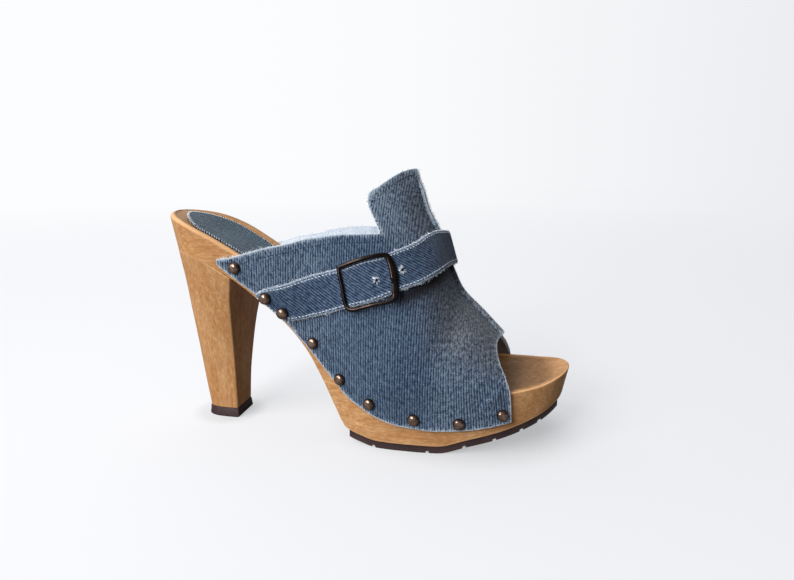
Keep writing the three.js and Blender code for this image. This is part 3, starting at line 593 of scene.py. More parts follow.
def heel_loop(up, level, flare=0.0):
    """Loop round the heel: rounded back, sides, then the flat front with small round corners."""
    back = heel["back"](up) * SEAT_DEPTH - flare
    front = heel["front"](up) * SEAT_DEPTH + flare
    half = HEEL_TIP_WIDTH / 2 * (1 - heel["half"](up)) + SEAT_HALF * heel["half"](up) + flare
    square = heel["square"](up)
    x = back + (front - CORNER - back) * (1 - np.cos(np.linspace(0, np.pi / 2, 33)))
    y = half * (1 - ((front - x) / (front - back)) ** square) ** (1 / square)
    corner = np.linspace(0, np.pi / 2, 6)[1:]
    x = np.concatenate([x, front - CORNER * (1 - np.sin(corner))])
    y = np.concatenate([y, y[-1] - CORNER * (1 - np.cos(corner))])
    near = np.column_stack([x, -y, level(x)])
    far = np.column_stack([x, y, level(x)])[::-1]
    # Painted highlight down the rounded front corners.
    corner_highlight = np.concatenate([np.zeros(33), np.sin(2 * corner)])
    return np.concatenate([near, far[:-1]]), np.concatenate([corner_highlight, corner_highlight[:0:-1]])


def capped(shape, loops, worn):
    """A stack of loops closed by rows across both ends."""
    shape.grid(loops, wrap=True, worn=worn, trod=0)
    for loop in (loops[0], loops[-1]):
        half = len(loop) // 2
        far = (len(loop) - np.arange(half + 1)) % len(loop)
        shape.grid(np.stack([loop[: half + 1], loop[far]], 1), worn=0, trod=0)


def heel_block():
    shape = Shape()
    foot = TOP_LIFT + GAP
    loops, worn = [], []
    for up in [*np.linspace(0, 0.975, 30), 0.985, 0.993, 1.0]:
        flare = 0.55 * smooth_step(up, 0.8, 1.0)
        loop, corner = heel_loop(up, lambda x: foot * (1 - up) + (under_level(x) + 0.05) * up, flare)
        loops.append(loop)
        # Painted highlight on the front corners and along the top edge at the joint with the sole.
        worn.append(np.maximum(corner * 0.5, 0.9 * smooth_step(up, 0.985, 0.995)))
    capped(shape, loops, np.array(worn))
    return shape


heel_wood = heel_block().build("heel_wood", [lacquered_wood("heel_wood", upright=True)], sharp=50)
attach(heel_wood, "root")
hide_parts("heel_block")

# Top lift: a dark rubber plate nailed under the heel and cut to its outline, flaring a little
# where it is worn.
RUBBER_DARK = (0.022, 0.011, 0.012)
RUBBER_LIGHT = (0.052, 0.026, 0.028)
RUBBER_DUST = (0.16, 0.11, 0.10)
RUBBER_SCUFF = (0.12, 0.08, 0.075)


def rubber(name, shine=0.62):
    """Dark brown moulded rubber with a dusty, slightly scuffed surface."""
    made, tree, shader = material(name, Roughness=shine, Specular_IOR_Level=0.3)
    place = position_mm(tree)
    cloud = noise(tree, place, 0.12, 4.0)
    fine = noise(tree, place, 1.8, 3.0)
    colour = mixed(tree, ranged(tree, cloud, 0.35, 0.7), RUBBER_DARK, RUBBER_LIGHT)
    colour = mixed(tree, ranged(tree, fine, 0.62, 0.8, 0, 0.4), colour, RUBBER_DUST)
    # Lighter on scuffed edges, and on the top lift also the painted highlight of the heel's front corners.
    colour = mixed(tree, times(tree, value_of(tree, "worn"), 0.5), colour, RUBBER_SCUFF)
    roughness = ranged(tree, fine, 0.3, 0.8, shine - 0.1, shine + 0.2)
    fed(tree, shader, Base_Color=colour, Roughness=roughness, Normal=bumped(tree, fine, 0.35, 0.00015))
    return made


def top_lift():
    shape = Shape()
    levels = ((0.0, 0.35), (0.35, 0.7), (0.9, 0.8), (2.8, 0.5), (TOP_LIFT - 0.5, 0.35), (TOP_LIFT, 0.05))
    # Each loop brings the heel's painted corner highlight with it.
    loops, worn = zip(*(heel_loop(0.0, lambda x: np.full(len(x), level), flare) for level, flare in levels))
    capped(shape, loops, np.array(worn))
    return shape


heel_rubber = top_lift().build("heel_rubber", [rubber("heel_rubber")])
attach(heel_rubber, "root")
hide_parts("top_lift")

# Outsole: brown rubber tread under the forefoot, glued to the wood, with cross grooves
# between its lugs and fine ribs moulded into each lug's walking face.
LUGS = (
    (0.492, 0.548), (0.557, 0.674), (0.683, 0.757), (0.766, 0.824),
    (0.833, 0.884), (0.893, 0.924), (0.933, 0.972),
)
TREAD_INSET = 0.9
LUG_GROOVE = 1.0
GROOVE_WALL = 0.35
TREAD_ARRIS = 0.6
RIB_PITCH = 1.6
RIB_DEPTH = 0.35


def outsole():
    shape = Shape()
    places, depths = [], []
    for i, (start, end) in enumerate(LUGS):
        last = i == len(LUGS) - 1
        count = max(6, int((end - start) * LENGTH / RIB_PITCH * 4))
        share = np.linspace(0, 1, count + 1)
        if last:
            share = 1 - (1 - share) ** 2
        x = (start + (end - start) * share) * LENGTH
        ribs = RIB_DEPTH * (0.5 - 0.5 * np.cos(2 * np.pi * (x - x[0]) / RIB_PITCH))
        inside = np.minimum(x - x[0], x[-1] - x) > 1.0
        places.extend(x)
        depths.extend(TREAD - np.where(inside, ribs, 0))
        if not last:
            places.extend((end * LENGTH + GROOVE_WALL, LUGS[i + 1][0] * LENGTH - GROOVE_WALL))
            depths.extend([TREAD - LUG_GROOVE] * 2)
    x, deep = np.array(places), np.array(depths)
    tapered = 1 - np.minimum(1, (LENGTH - x) / TOE_ROUND)
    half = half_at(x + tapered * (TOE_SLOPE + TREAD_INSET)) - TREAD_INSET
    top = under_level(x) - GAP
    full = top - TREAD
    foot = top - deep
    border = np.minimum(foot, full + np.where(deep < TREAD - RIB_DEPTH - 0.1, LUG_GROOVE, 0))
    section = [
        (-half, top), (half, top), (half, border + TREAD_ARRIS),
        (half - TREAD_ARRIS * 0.3, border + TREAD_ARRIS * 0.3), (half - TREAD_ARRIS, border),
        (half - 3, border), (half - 3.4, foot), (half * 0, foot), (3.4 - half, foot), (3 - half, border),
        (TREAD_ARRIS - half, border), (TREAD_ARRIS * 0.3 - half, border + TREAD_ARRIS * 0.3),
        (-half, border + TREAD_ARRIS),
    ]
    rows = np.stack([np.column_stack([x, centre_at(x) + y, z]) for y, z in section], 1)
    worn = np.array([0, 0, 0.5, 1, 0.7, 0.2, 0, 0, 0, 0.2, 0.7, 1, 0.5])
    shape.grid(rows, wrap=True, worn=worn)
    for ring in (rows[0], rows[-1]):
        top_row = np.linspace(ring[0], ring[1], 2)
        low = ring[2:]
        middle = len(low) // 2
        right = np.concatenate([top_row[1:], low[:middle + 1]])
        left = np.concatenate([top_row[:1], low[middle:][::-1]])
        shape.grid(np.stack([left, right], 1), worn=0)
    return shape


tread_rubber = outsole().build("tread_rubber", [rubber("tread_rubber", 0.55)], sharp=35)
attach(tread_rubber, "root")
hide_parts("outsole")

# Sock pad: a leaf of the same denim glued on the seat and shank, its raw edge overcast
# with white thread, with one dark tack near the edge.
PAD_THICK = 1.3
PAD_MARGIN = 6.5
PAD_END = 0.45
PAD_POINTS = 240
INDIGO_DARK = (0.010, 0.021, 0.054)
INDIGO_LIGHT = (0.150, 0.222, 0.312)
FADED = (0.365, 0.430, 0.500)
SOIL_DARK = (0.018, 0.023, 0.034)
SOIL_LIGHT = (0.262, 0.275, 0.295)
RAW_THREAD = (0.58, 0.63, 0.70)
# Near-black of the painted shadow under the strap.
STRAP_SHADOW = (0.007, 0.005, 0.007)
CLOTH_VALUES = {"across": 0.0, "down": 0.0, "edge": 9.0, "wear": 0.0, "soil": 0.0, "strap_shadow": 0.0}

# Twill: floats of pale weft between lines of indigo warp. Across and Down are millimetres
# over and along the lines, Edge the millimetres to a raw edge, Pitch a line's width.
twill, given, gives = shader_group(
    "denim_twill",
    {"Across": 0.0, "Down": 0.0, "Edge": 9.0, "Wear": 0.0, "Soil": 0.0, "Pitch": 1.0},
    {"Color": "Color", "Height": "Float"},
)
cells = math_node(twill, "DIVIDE", given["Across"], given["Pitch"])
lengths = math_node(twill, "DIVIDE", given["Down"], given["Pitch"])


def cloth_vector(across, down, across_scale, down_scale, seed):
    x = times(twill, across, across_scale)
    y = times(twill, down, down_scale)
    return node(twill, "ShaderNodeCombineXYZ", {"X": x, "Y": y, "Z": seed}).outputs[0]


drift = noise(twill, cloth_vector(cells, lengths, 0.30, 0.05, 1.0), 1.0, 2.0)
bent = plus(twill, cells, times(twill, drift, 0.9))
wave = math_node(twill, "SINE", times(twill, bent, 2 * math.pi))
line = plus(twill, times(twill, wave, 0.5), 0.5)
dash = noise(twill, cloth_vector(bent, lengths, 1.0, 0.55, 7.0), 1.0, 2.0)
speck = noise(twill, cloth_vector(cells, lengths, 2.2, 1.9, 3.0), 1.0, 1.0)
patch = noise(twill, cloth_vector(cells, lengths, 0.045, 0.03, 5.0), 1.0, 3.0)
ribbed = plus(twill, given["Soil"], times(twill, given["Wear"], 0.8))
ribbed = ranged(twill, ribbed, 0, 1, 0.55, 0.1)
thread = plus(twill, times(twill, plus(twill, line, -0.5), ribbed), 0.26)
for part, share in ((dash, 1.25), (speck, 0.95), (patch, 0.35), (given["Wear"], 0.22)):
    thread = plus(twill, thread, times(twill, part, share))
tone = ranged(twill, thread, 1.28, 2.2)
colour = mixed(twill, tone, INDIGO_DARK, INDIGO_LIGHT)
soiled = mixed(twill, tone, SOIL_DARK, SOIL_LIGHT)
rubbed = times(twill, given["Wear"], ranged(twill, thread, 1.55, 1.95), clamp=True)
grimy = times(twill, given["Soil"], ranged(twill, patch, 0.3, 0.6, 0.7, 1.0), clamp=True)
colour = mixed(twill, grimy, colour, soiled)
colour = mixed(twill, rubbed, colour, FADED)
ragged = plus(twill, given["Edge"], times(twill, speck, -1.3))
fray = ranged(twill, ragged, 0.05, -0.75)
twill.links.new(mixed(twill, fray, colour, RAW_THREAD), gives["Color"])
height = plus(twill, times(twill, line, 0.6), times(twill, dash, 0.5))
height = plus(twill, height, times(twill, speck, 0.6))
twill.links.new(height, gives["Height"])


def denim(name, pitch, tint=(1.0, 1.0, 1.0)):
    """Washed denim, tinted by its own age."""
    made, tree, shader = material(
        name, Roughness=0.93, Specular_IOR_Level=0.2, Sheen_Weight=0.12, Sheen_Roughness=0.5,
    )
    cloth = node(tree, "ShaderNodeGroup", node_tree=twill)
    for label in ("Across", "Down", "Edge", "Wear", "Soil"):
        tree.links.new(value_of(tree, label.lower()), cloth.inputs[label])
    cloth.inputs["Pitch"].default_value = pitch
    tinted = node(tree, "ShaderNodeMix", {0: 1.0, 6: cloth.outputs["Color"], 7: rgba(tint)}, data_type="RGBA",
                  blend_type="MULTIPLY")
    # Painted shadow under the strap's lower edge, mixed in towards near-black.
    colour = mixed(tree, value_of(tree, "strap_shadow"), tinted.outputs[2], STRAP_SHADOW)
    fed(tree, shader, Base_Color=colour, Normal=bumped(tree, cloth.outputs["Height"], 0.55, 0.00022))
    return made


def nearest(points, targets):
    """Distance of each point to the nearest of the targets."""
    tree = kdtree.KDTree(len(targets))
    for i, target in enumerate(targets):
        tree.insert(target, i)
    tree.balance()
    flat = points.reshape(-1, 3)
    return np.array([tree.find(point)[2] for point in flat]).reshape(points.shape[:-1])


def run_along(points):
    """Distance along a row of points."""
    return np.concatenate([[0], np.cumsum(np.linalg.norm(np.diff(points, axis=0), axis=1))])


def taken_at(at, run, part):
    """Points or ways of a row at given distances along it."""
    return np.stack([np.interp(at, run, part[:, k]) for k in range(3)], -1)


def overcast(shape, path, outward, normals, step, reach, thick):
    """Short stitches that wrap a raw edge, from the face round the edge."""
    run = run_along(path)
    roots, out, up = (taken_at(np.arange(0, run[-1], step), run, part) for part in (path, outward, normals))
    along = unit(np.gradient(roots, axis=0))
    lean = along * step * 0.35
    stops = (
        (-reach, 0.0), (-reach * 0.8, 0.28), (-reach * 0.3, 0.34), (0.15, 0.2), (0.4, -0.25), (0.35, -0.7),
    )
    line = [roots + out * o + up * u + lean * (i / 5 - 0.5) for i, (o, u) in enumerate(stops)]
    paths = np.stack(line, 1)
    radii = np.full(paths.shape[:2], thick)
    radii[:, [0, -1]] = 0
    shape.threads(paths, radii, sides=4, tone=np.full(len(paths), 0.8))


def running(shape, path, normals, step, stitch, thick, rise, tone=0.5):
    """A row of sewn stitches lying on the cloth and diving into it."""
    run = run_along(path)
    starts = np.arange(0.3, run[-1] - stitch, step)
    at = starts[:, None] + np.linspace(0, stitch, 6)
    points = taken_at(at, run, path)
    up = unit(taken_at(at, run, normals))
    lift = rise * np.array([-1.0, 0.3, 1.0, 1.0, 0.3, -1.0])
    radii = thick * np.array([0.0, 0.9, 1.0, 1.0, 0.9, 0.0])
    shape.threads(points + up * lift[None, :, None], np.broadcast_to(radii, at.shape), sides=5,
                  tone=np.full(len(at), tone))


chance = np.random.default_rng(20260417)


def frayed(shape, path, outward, normals, per_mm, reach, thick, spread, curl=0.5):
    """Loose thread ends along a raw edge; spread is the cloth's thickness there."""
    run = run_along(path)
    count = int(run[-1] * per_mm)
    at = np.sort(chance.uniform(0, run[-1], count))
    root, out, up = (taken_at(at, run, part) for part in (path, outward, normals))
    along = unit(taken_at(at, run, np.gradient(path, axis=0)))
    lean = chance.normal(0, 0.55, (count, 1))
    tilt = chance.normal(0, 0.35, (count, 1))
    way = unit(out + along * lean + up * tilt)
    length = reach * chance.gamma(3.0, 1 / 3.0, (count, 1))
    bend = along * chance.normal(0, curl, (count, 1)) + up * chance.normal(0, curl * 0.6, (count, 1))
    root = root + up * chance.uniform(-0.5, 0.5, (count, 1)) * spread - out * 0.35
    t = np.linspace(0, 1, 4)[None, :, None]
    paths = root[:, None] + way[:, None] * length[:, None] * t + bend[:, None] * length[:, None] * t**2
    radii = thick * np.array([1.0, 0.9, 0.7, 0.0])[None] * chance.uniform(0.7, 1.3, (count, 1))
    shape.threads(paths, radii, tone=chance.uniform(0.0, 1.0, count))


def loose_thread(name, dark, light):
    """Cotton thread between two colours, by each thread's own tone."""
    made, tree, shader = material(name, Roughness=0.9, Specular_IOR_Level=0.2)
    fed(tree, shader, Base_Color=mixed(tree, value_of(tree, "tone"), dark, light))
    return made


WHITE_THREAD = loose_thread("white_thread", (0.62, 0.69, 0.78), (0.93, 0.95, 0.97))
DARK_THREAD = loose_thread("dark_thread", (0.012, 0.016, 0.035), (0.03, 0.045, 0.09))


def pad_loop(height, inset):
    start, end = PAD_MARGIN + 3.5, PAD_END * LENGTH
    turn = 2 * np.pi * np.arange(PAD_POINTS) / PAD_POINTS
    x = start + inset + (end - start - 2 * inset) * (1 - np.cos(turn)) / 2
    round_ends = round_end(x - start, 22) * round_end(end - x, 20)
    half = np.maximum(np.maximum(half_at(x) - PAD_MARGIN, 0) * round_ends - inset, 0)
    side = np.sign(np.round(np.sin(turn), 6))
    y = centre_at(x) - side * half * np.where(side < 0, 0.92, 1.0)
    return np.stack([x, y, footbed_level(x, y) + height], -1)


def denim_values(points, edges, slant=0.0, **others):
    """Twill coordinates of a sheet lying along X, and its distance to the raw edges."""
    values = dict(CLOTH_VALUES)
    values["across"] = points[..., 0] * math.cos(slant) + points[..., 1] * math.sin(slant)
    values["down"] = points[..., 1] * math.cos(slant) - points[..., 0] * math.sin(slant)
    values["edge"] = nearest(points, edges)
    values.update(others)
    return values


pad_top = GAP + PAD_THICK
pad_edge = pad_loop(pad_top - 0.3, 0)
pad = Shape()
pad_loops = np.array([pad_loop(GAP, 0), pad_loop(pad_top - 0.6, -0.1), pad_edge, pad_loop(pad_top, 0.5)])
pad.grid(pad_loops, wrap=True, **denim_values(pad_loops, pad_edge + (0, 0, 0.6)))
for loop, height in ((pad_loops[0], GAP), (pad_loops[-1], pad_top)):
    rows = across_rows(loop, 25, lambda x, y: footbed_level(x, y) + height)
    pad.grid(rows, **denim_values(rows, pad_edge, soil=0.1, wear=0.3))
pad_cloth = pad.build("pad_cloth", [denim("pad_denim", 1.15, (0.54, 0.73, 0.71))])
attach(pad_cloth, "root")
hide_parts("sock_pad")

closed_edge = np.concatenate([pad_edge, pad_edge[:2]])
pad_up = np.tile((0.0, 0.0, 1.0), (len(closed_edge), 1))
pad_out = unit(np.cross(np.gradient(closed_edge, axis=0), pad_up)) * (1, 1, 0)
pad_thread = Shape()
overcast(pad_thread, closed_edge, pad_out, pad_up, step=1.5, reach=1.0, thick=0.13)
frayed(pad_thread, closed_edge, pad_out, pad_up, per_mm=4, reach=0.7, thick=0.07, spread=0.6)
pad_stitches = pad_thread.build("pad_stitches", [WHITE_THREAD])
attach(pad_stitches, "root")

# Upper: two halves of denim over a pale cotton lining, drawn over the last. Their raw edges
# meet in a standing seam over the instep, and the hem is nailed to the side of the wood.
WALL = 2.2
INSTEP_RISE = 98
SEAM_RAISE = 1.7
OUTER = -1
INNER = 1
# crest: share of INSTEP_RISE above the rim; lean: the crest's place across, share of half the
# ball width; round: power of the section; ridge: how far the halves' curves run past each other.
LAST = table(
    "along crest lean round ridge",
    (0.17, 1.02, 0.333, 1.7, 0.06),
    (0.3, 1.16, 0.333, 1.7, 0.06),
    (0.4, 1.235, 0.333, 1.7, 0.06),
    (0.46, 1.255, 0.333, 1.7, 0.06),
    (0.507, 1.235, 0.333, 1.7, 0.06),
    (0.543, 1.175, 0.333, 1.7, 0.06),
    (0.57, 1.1, 0.333, 1.7, 0.065),
    (0.597, 1.0, 0.335, 1.72, 0.07),
    (0.63, 0.86, 0.34, 1.76, 0.075),
    (0.662, 0.745, 0.345, 1.82, 0.08),
    (0.696, 0.56, 0.35, 1.9, 0.09),
    (0.721, 0.447, 0.345, 1.98, 0.1),
    (0.774, 0.33, 0.32, 2.1, 0.1),
    (0.826, 0.208, 0.29, 2.25, 0.09),
    (0.88, 0.09, 0.27, 2.3, 0.08),
)
last = {name: through(LAST["along"], column) for name, column in LAST.items()}
# drop: how far the hem reaches down from the rim, share of PLATFORM.
HEM = table(
    "along drop",
    (0.17, 0.4), (0.2, 0.46), (0.28, 0.53), (0.34, 0.54), (0.375, 0.63), (0.42, 0.71), (0.463, 0.8),
    (0.495, 0.88), (0.537, 0.87), (0.617, 0.825), (0.664, 0.74), (0.726, 0.67), (0.789, 0.62), (0.87, 0.52),
)
hem_drop = through(HEM["along"], HEM["drop"])


def last_point(x, turn, side):
    """Point of the upper's inside. turn: -1 hem, 0 the wood's rim, 1 crest."""
    x, turn = np.broadcast_arrays(np.asarray(x, float), np.asarray(turn, float))
    share = share_of(x)
    edge = centre_at(x) + side * (half_at(x) + GAP)
    rim = rim_level(x) - ARRIS * 0.5
    wall = rim + turn * (hem_drop(share) * PLATFORM - ARRIS * 0.5)
    power = last["round"](share)
    crest = last["lean"](share) * BALL_HALF
    reach = np.abs(edge - crest)
    past = last["ridge"](share) * reach
    end = np.arccos((past / (reach + past)) ** (power / 2))
    angle = np.clip(turn, 0, 1) * end
    y = crest - side * past + side * (reach + past) * np.cos(angle) ** (2 / power)
    z = rim + last["crest"](share) * INSTEP_RISE * (np.sin(angle) / np.sin(end)) ** (2 / power)
    return np.stack([x, np.where(turn <= 0, edge, y), np.where(turn <= 0, wall, z)], -1)


def last_normal(x, turn, side):
    lengthways = last_point(x + 0.5, turn, side) - last_point(x - 0.5, turn, side)
    higher = np.minimum(turn + 0.01, 1)
    lower = np.maximum(turn - 0.01, -1)
    return unit(np.cross(lengthways, last_point(x, higher, side) - last_point(x, lower, side)) * -side)


def crest_normal(x, turn, side):
    """At the crest the two halves share one mitred normal."""
    own = last_normal(x, turn, side)
    both = unit(own + last_normal(x, turn, -side))
    return both / np.maximum((both * own).sum(-1, keepdims=True), 0.75)


# Ribs of each half, back to front: outer way, and inner way where it differs.
# A way is [turn, share of LENGTH] from the hem to the top edge; the last ones end on the crest.
RIBS = (
    (((-1, 0.179), (-0.75, 0.179)), None),
    (((-1, 0.197), (-0.39, 0.2)), None),
    (((-1, 0.232), (0.034, 0.24)), None),
    (((-1, 0.31), (0.18, 0.333)), None),
    (((-1, 0.375), (0.286, 0.411)), None),
    (((-1, 0.43), (0.358, 0.471)), ((-1, 0.425), (0.338, 0.455))),
    (((-1, 0.489), (0.488, 0.5605)), ((-1, 0.475), (0.415, 0.523))),
    (((-1, 0.5), (0.488, 0.563), (0.533, 0.5235)), ((-1, 0.485), (0.415, 0.5265), (0.5, 0.501))),
    (((-1, 0.512), (0.488, 0.566), (0.556, 0.525)), ((-1, 0.497), (0.415, 0.531), (0.525, 0.5035))),
    (((-1, 0.53), (0.488, 0.573), (0.622, 0.5424)), ((-1, 0.515), (0.415, 0.541), (0.582, 0.523))),
    (((-1, 0.568), (0.484, 0.592), (0.782, 0.5707)), ((-1, 0.555), (0.415, 0.575), (0.722, 0.558))),
    (((-1, 0.615), (0.484, 0.627), (1, 0.591)), None),
    (((-1, 0.665), (0.4, 0.666), (1, 0.63)), None),
    (((-1, 0.712), (0.4, 0.706), (1, 0.67)), None),
    (((-1, 0.755), (0.4, 0.745), (1, 0.71)), None),
    (((-1, 0.81), (0.4, 0.795), (1, 0.77)), None),
    (((-1, 0.861), (0, 0.857), (0.3, 0.843), (0.44, 0.831), (0.59, 0.822), (0.72, 0.819), (1, 0.829)), None),
)
FIRST_CREST_ROW = 11
CORNER_ROWS = (0, 6, FIRST_CREST_ROW, 16)
RIB_SAMPLES = 81
RIB_SPACING = 1.3
HEM_ROWS = np.array([0.0, 0.3, 0.8, 1.5, 2.4])
# Rows beside the crest: millimetres from it, and how far the standing seam is raised there.
SEAM = table(
    "away raise",
    (5.0, 0.0), (4.2, 0.0), (3.6, 0.0), (3.25, 0.35), (3.0, 0.8), (2.8, 1.0), (2.2, 1.0),
    (1.5, 0.98), (0.95, 1.0), (0.55, 0.82), (0.25, 0.5), (0.0, 0.45),
)
BODY_ROWS = 42
TIP_LIFT = 3.7
CREST_LIFT = 1.7
# Painted shadow on the cloth under the strap's lower edge, where the strap stands off towards the crest: share of
# LENGTH and turn.
UNDER_STRAP = (
    (0.615, 0.365), (0.641, 0.44), (0.66, 0.515), (0.674, 0.625), (0.685, 0.77), (0.692, 0.9), (0.695, 1.0),
)
# Soft creases: the half, share of LENGTH and turn where each starts, the same where it ends,
# its width and its depth in millimetres, the depth below 0 for a trough.
CREASES = (
    (OUTER, 0.655, 0.05, 0.745, 0.62, 5.5, -0.55),
    (OUTER, 0.69, 0.02, 0.775, 0.5, 4.5, 0.45),
    (OUTER, 0.79, -0.35, 0.845, 0.25, 3.2, 0.6),
    (OUTER, 0.775, -0.3, 0.825, 0.3, 3.0, -0.5),
    (OUTER, 0.56, -0.55, 0.6, 0.2, 7.0, 0.5),
    (OUTER, 0.43, -0.2, 0.52, 0.1, 5.0, -0.45),
    (OUTER, 0.545, 0.62, 0.585, 0.8, 5.0, -0.4),
    (INNER, 0.66, 0.05, 0.74, 0.6, 5.0, -0.6),
    (INNER, 0.7, 0.0, 0.78, 0.5, 4.5, 0.5),
    (INNER, 0.79, -0.3, 0.84, 0.3, 3.2, 0.5),
    (INNER, 0.5, -0.4, 0.57, 0.15, 6.0, -0.45),
    (INNER, 0.32, -0.2, 0.42, 0.0, 4.0, 0.35),
)


GRID_X = np.linspace(0.15, 0.9, 301) * LENGTH
GRID_TURN = np.linspace(0, 1, 201)


def girths(side):
    """Length over the form from the rim to each turn, and the turn at each share of that length."""
    points = last_point(GRID_X[:, None], GRID_TURN, side)
    steps = np.linalg.norm(np.diff(points, axis=1), axis=-1)
    lengths = np.concatenate([np.zeros((len(GRID_X), 1)), np.cumsum(steps, axis=1)], 1)
    return lengths, np.array([np.interp(GRID_TURN, row / row[-1], GRID_TURN) for row in lengths])


GIRTHS = {side: girths(side) for side in (OUTER, INNER)}


def looked_up(grid, x, share):
    """Value between the points of a grid over GRID_X and GRID_TURN."""
    i = np.clip((x - GRID_X[0]) / (GRID_X[1] - GRID_X[0]), 0, len(GRID_X) - 1.001)
    k = np.clip(share * (len(GRID_TURN) - 1), 0, len(GRID_TURN) - 1.001)
    row, column = i.astype(int), k.astype(int)
    i, k = i - row, k - column
    here = grid[row, column] * (1 - k) + grid[row, column + 1] * k
    ahead = grid[row + 1, column] * (1 - k) + grid[row + 1, column + 1] * k
    return here * (1 - i) + ahead * i


def wall_height(x):
    return hem_drop(share_of(x)) * PLATFORM - ARRIS * 0.5


def laid_flat(x, turn, side):
    """Millimetres over the form from the wood's rim, below 0 down to the hem."""
    return np.where(turn < 0, turn * wall_height(x), looked_up(GIRTHS[side][0], x, turn))


def drawn_over(x, girth, side):
    """The turn of a place given in millimetres from the rim."""
    full = looked_up(GIRTHS[side][0], x, np.ones_like(x))
    above = looked_up(GIRTHS[side][1], x, girth / full)
    return np.clip(np.where(girth < 0, girth / wall_height(x), above), -1, 1)


def way_places(way, side):
    """A rib's way as places: x and millimetres from the rim."""
    turns, shares = np.array(way, float).T
    turn = np.linspace(-1, turns[-1], RIB_SAMPLES)
    x = through(turns, shares)(turn) * LENGTH
    return np.stack([x, laid_flat(x, turn, side)], -1)


def rib_ways(side):
    """Every fine rib of one half. The top edge has corners at the tab's root and at its tip."""
    rows = np.array([way_places(inner if side == INNER and inner else outer, side) for outer, inner in RIBS])
    ways, first_crest = [], 0
    for start, end in zip(CORNER_ROWS, CORNER_ROWS[1:]):
        part = rows[start : end + 1]
        place = run_along(part[:, -1])
        count = max(6, round(place[-1] / RIB_SPACING))
        fine = np.linspace(0, place[-1], count + 1)
        if start == FIRST_CREST_ROW:
            first_crest = len(ways)
            fine = np.append(fine[:-1], place[-1] - np.array([0.8, 0.45, 0.2, 0.0]))
        else:
            fine = fine[:-1]
        blended = [[through(place, part[:, j, k])(fine) for j in range(RIB_SAMPLES)] for k in (0, 1)]
        ways.extend(np.transpose(blended, (2, 1, 0)))
    ways = np.array(ways)
    ways[..., 1] = drawn_over(ways[..., 0], ways[..., 1], side)
    ways[first_crest:, -1, 1] = 1
    return ways, first_crest


def rib_places(way, side):
    """Places down one rib, close together at the hem and beside the crest."""
    points = last_point(way[:, 0], way[:, 1], side)
    run = run_along(points)
    scale = min(1.0, run[-1] * 0.08)
    top = run[-1] - SEAM["away"] * scale
    hem = HEM_ROWS * scale
    body = np.linspace(hem[-1], top[0], BODY_ROWS + 2)[1:-1]
    at = np.concatenate([hem, body, top])
    return np.interp(at, run, way[:, 0]), np.interp(at, run, way[:, 1]), at


def creased(points, x, turn, side):
    """How far the cloth is pushed out (or in, below 0) by its creases."""
    push = np.zeros(x.shape)
    for of_side, start_share, start_turn, end_share, end_turn, width, depth in CREASES:
        if of_side != side:
            continue
        t = np.linspace(0, 1, 41)
        along = start_share + (end_share - start_share) * t
        spine = last_point(along * LENGTH, start_turn + (end_turn - start_turn) * t, side)
        close = kdtree.KDTree(len(spine))
        for i, point in enumerate(spine):
            close.insert(point, i)
        close.balance()
        found = [close.find(point) for point in points.reshape(-1, 3)]
        away = np.array([hit[2] for hit in found]).reshape(x.shape)
        where = t[np.array([hit[1] for hit in found])].reshape(x.shape)
        fade = np.sin(np.pi * np.clip(where, 0.02, 0.98)) ** 0.7
        push += depth * fade * np.exp(-((away / width) ** 2))
    return push


def cloth_half(side):
    """Grids of one half: places, inside and outside points, outward normals and values."""
    ways, first_crest = rib_ways(side)
    places = [rib_places(way, side) for way in ways]
    x, turn, run = (np.array([place[k] for place in places]) for k in range(3))
    inside = last_point(x, turn, side)
    normals = last_normal(x, turn, side)
    normals[first_crest:, -1] = crest_normal(x[first_crest:, -1], turn[first_crest:, -1], side)
    lift = np.full(x.shape, float(WALL))
    lift[first_crest:, -len(SEAM["raise"]):] += SEAM["raise"] * SEAM_RAISE
    tip = inside[first_crest, -1]
    near_tip = TIP_LIFT * np.exp(-((np.linalg.norm(inside - tip, axis=-1) / 6.5) ** 2))
    lift = np.maximum(lift, WALL + near_tip)
    lift += CREST_LIFT * np.exp(-(((x / LENGTH - 0.608) / 0.016) ** 2) - ((run[:, -1:] - run) / 14) ** 2)
    lift += creased(inside, x, turn, side)
    outside = inside + normals * lift[..., None]
    return {
        "side": side, "x": x, "turn": turn, "run": run, "inside": inside, "outside": outside,
        "normals": unit(normals), "first_crest": first_crest,
    }


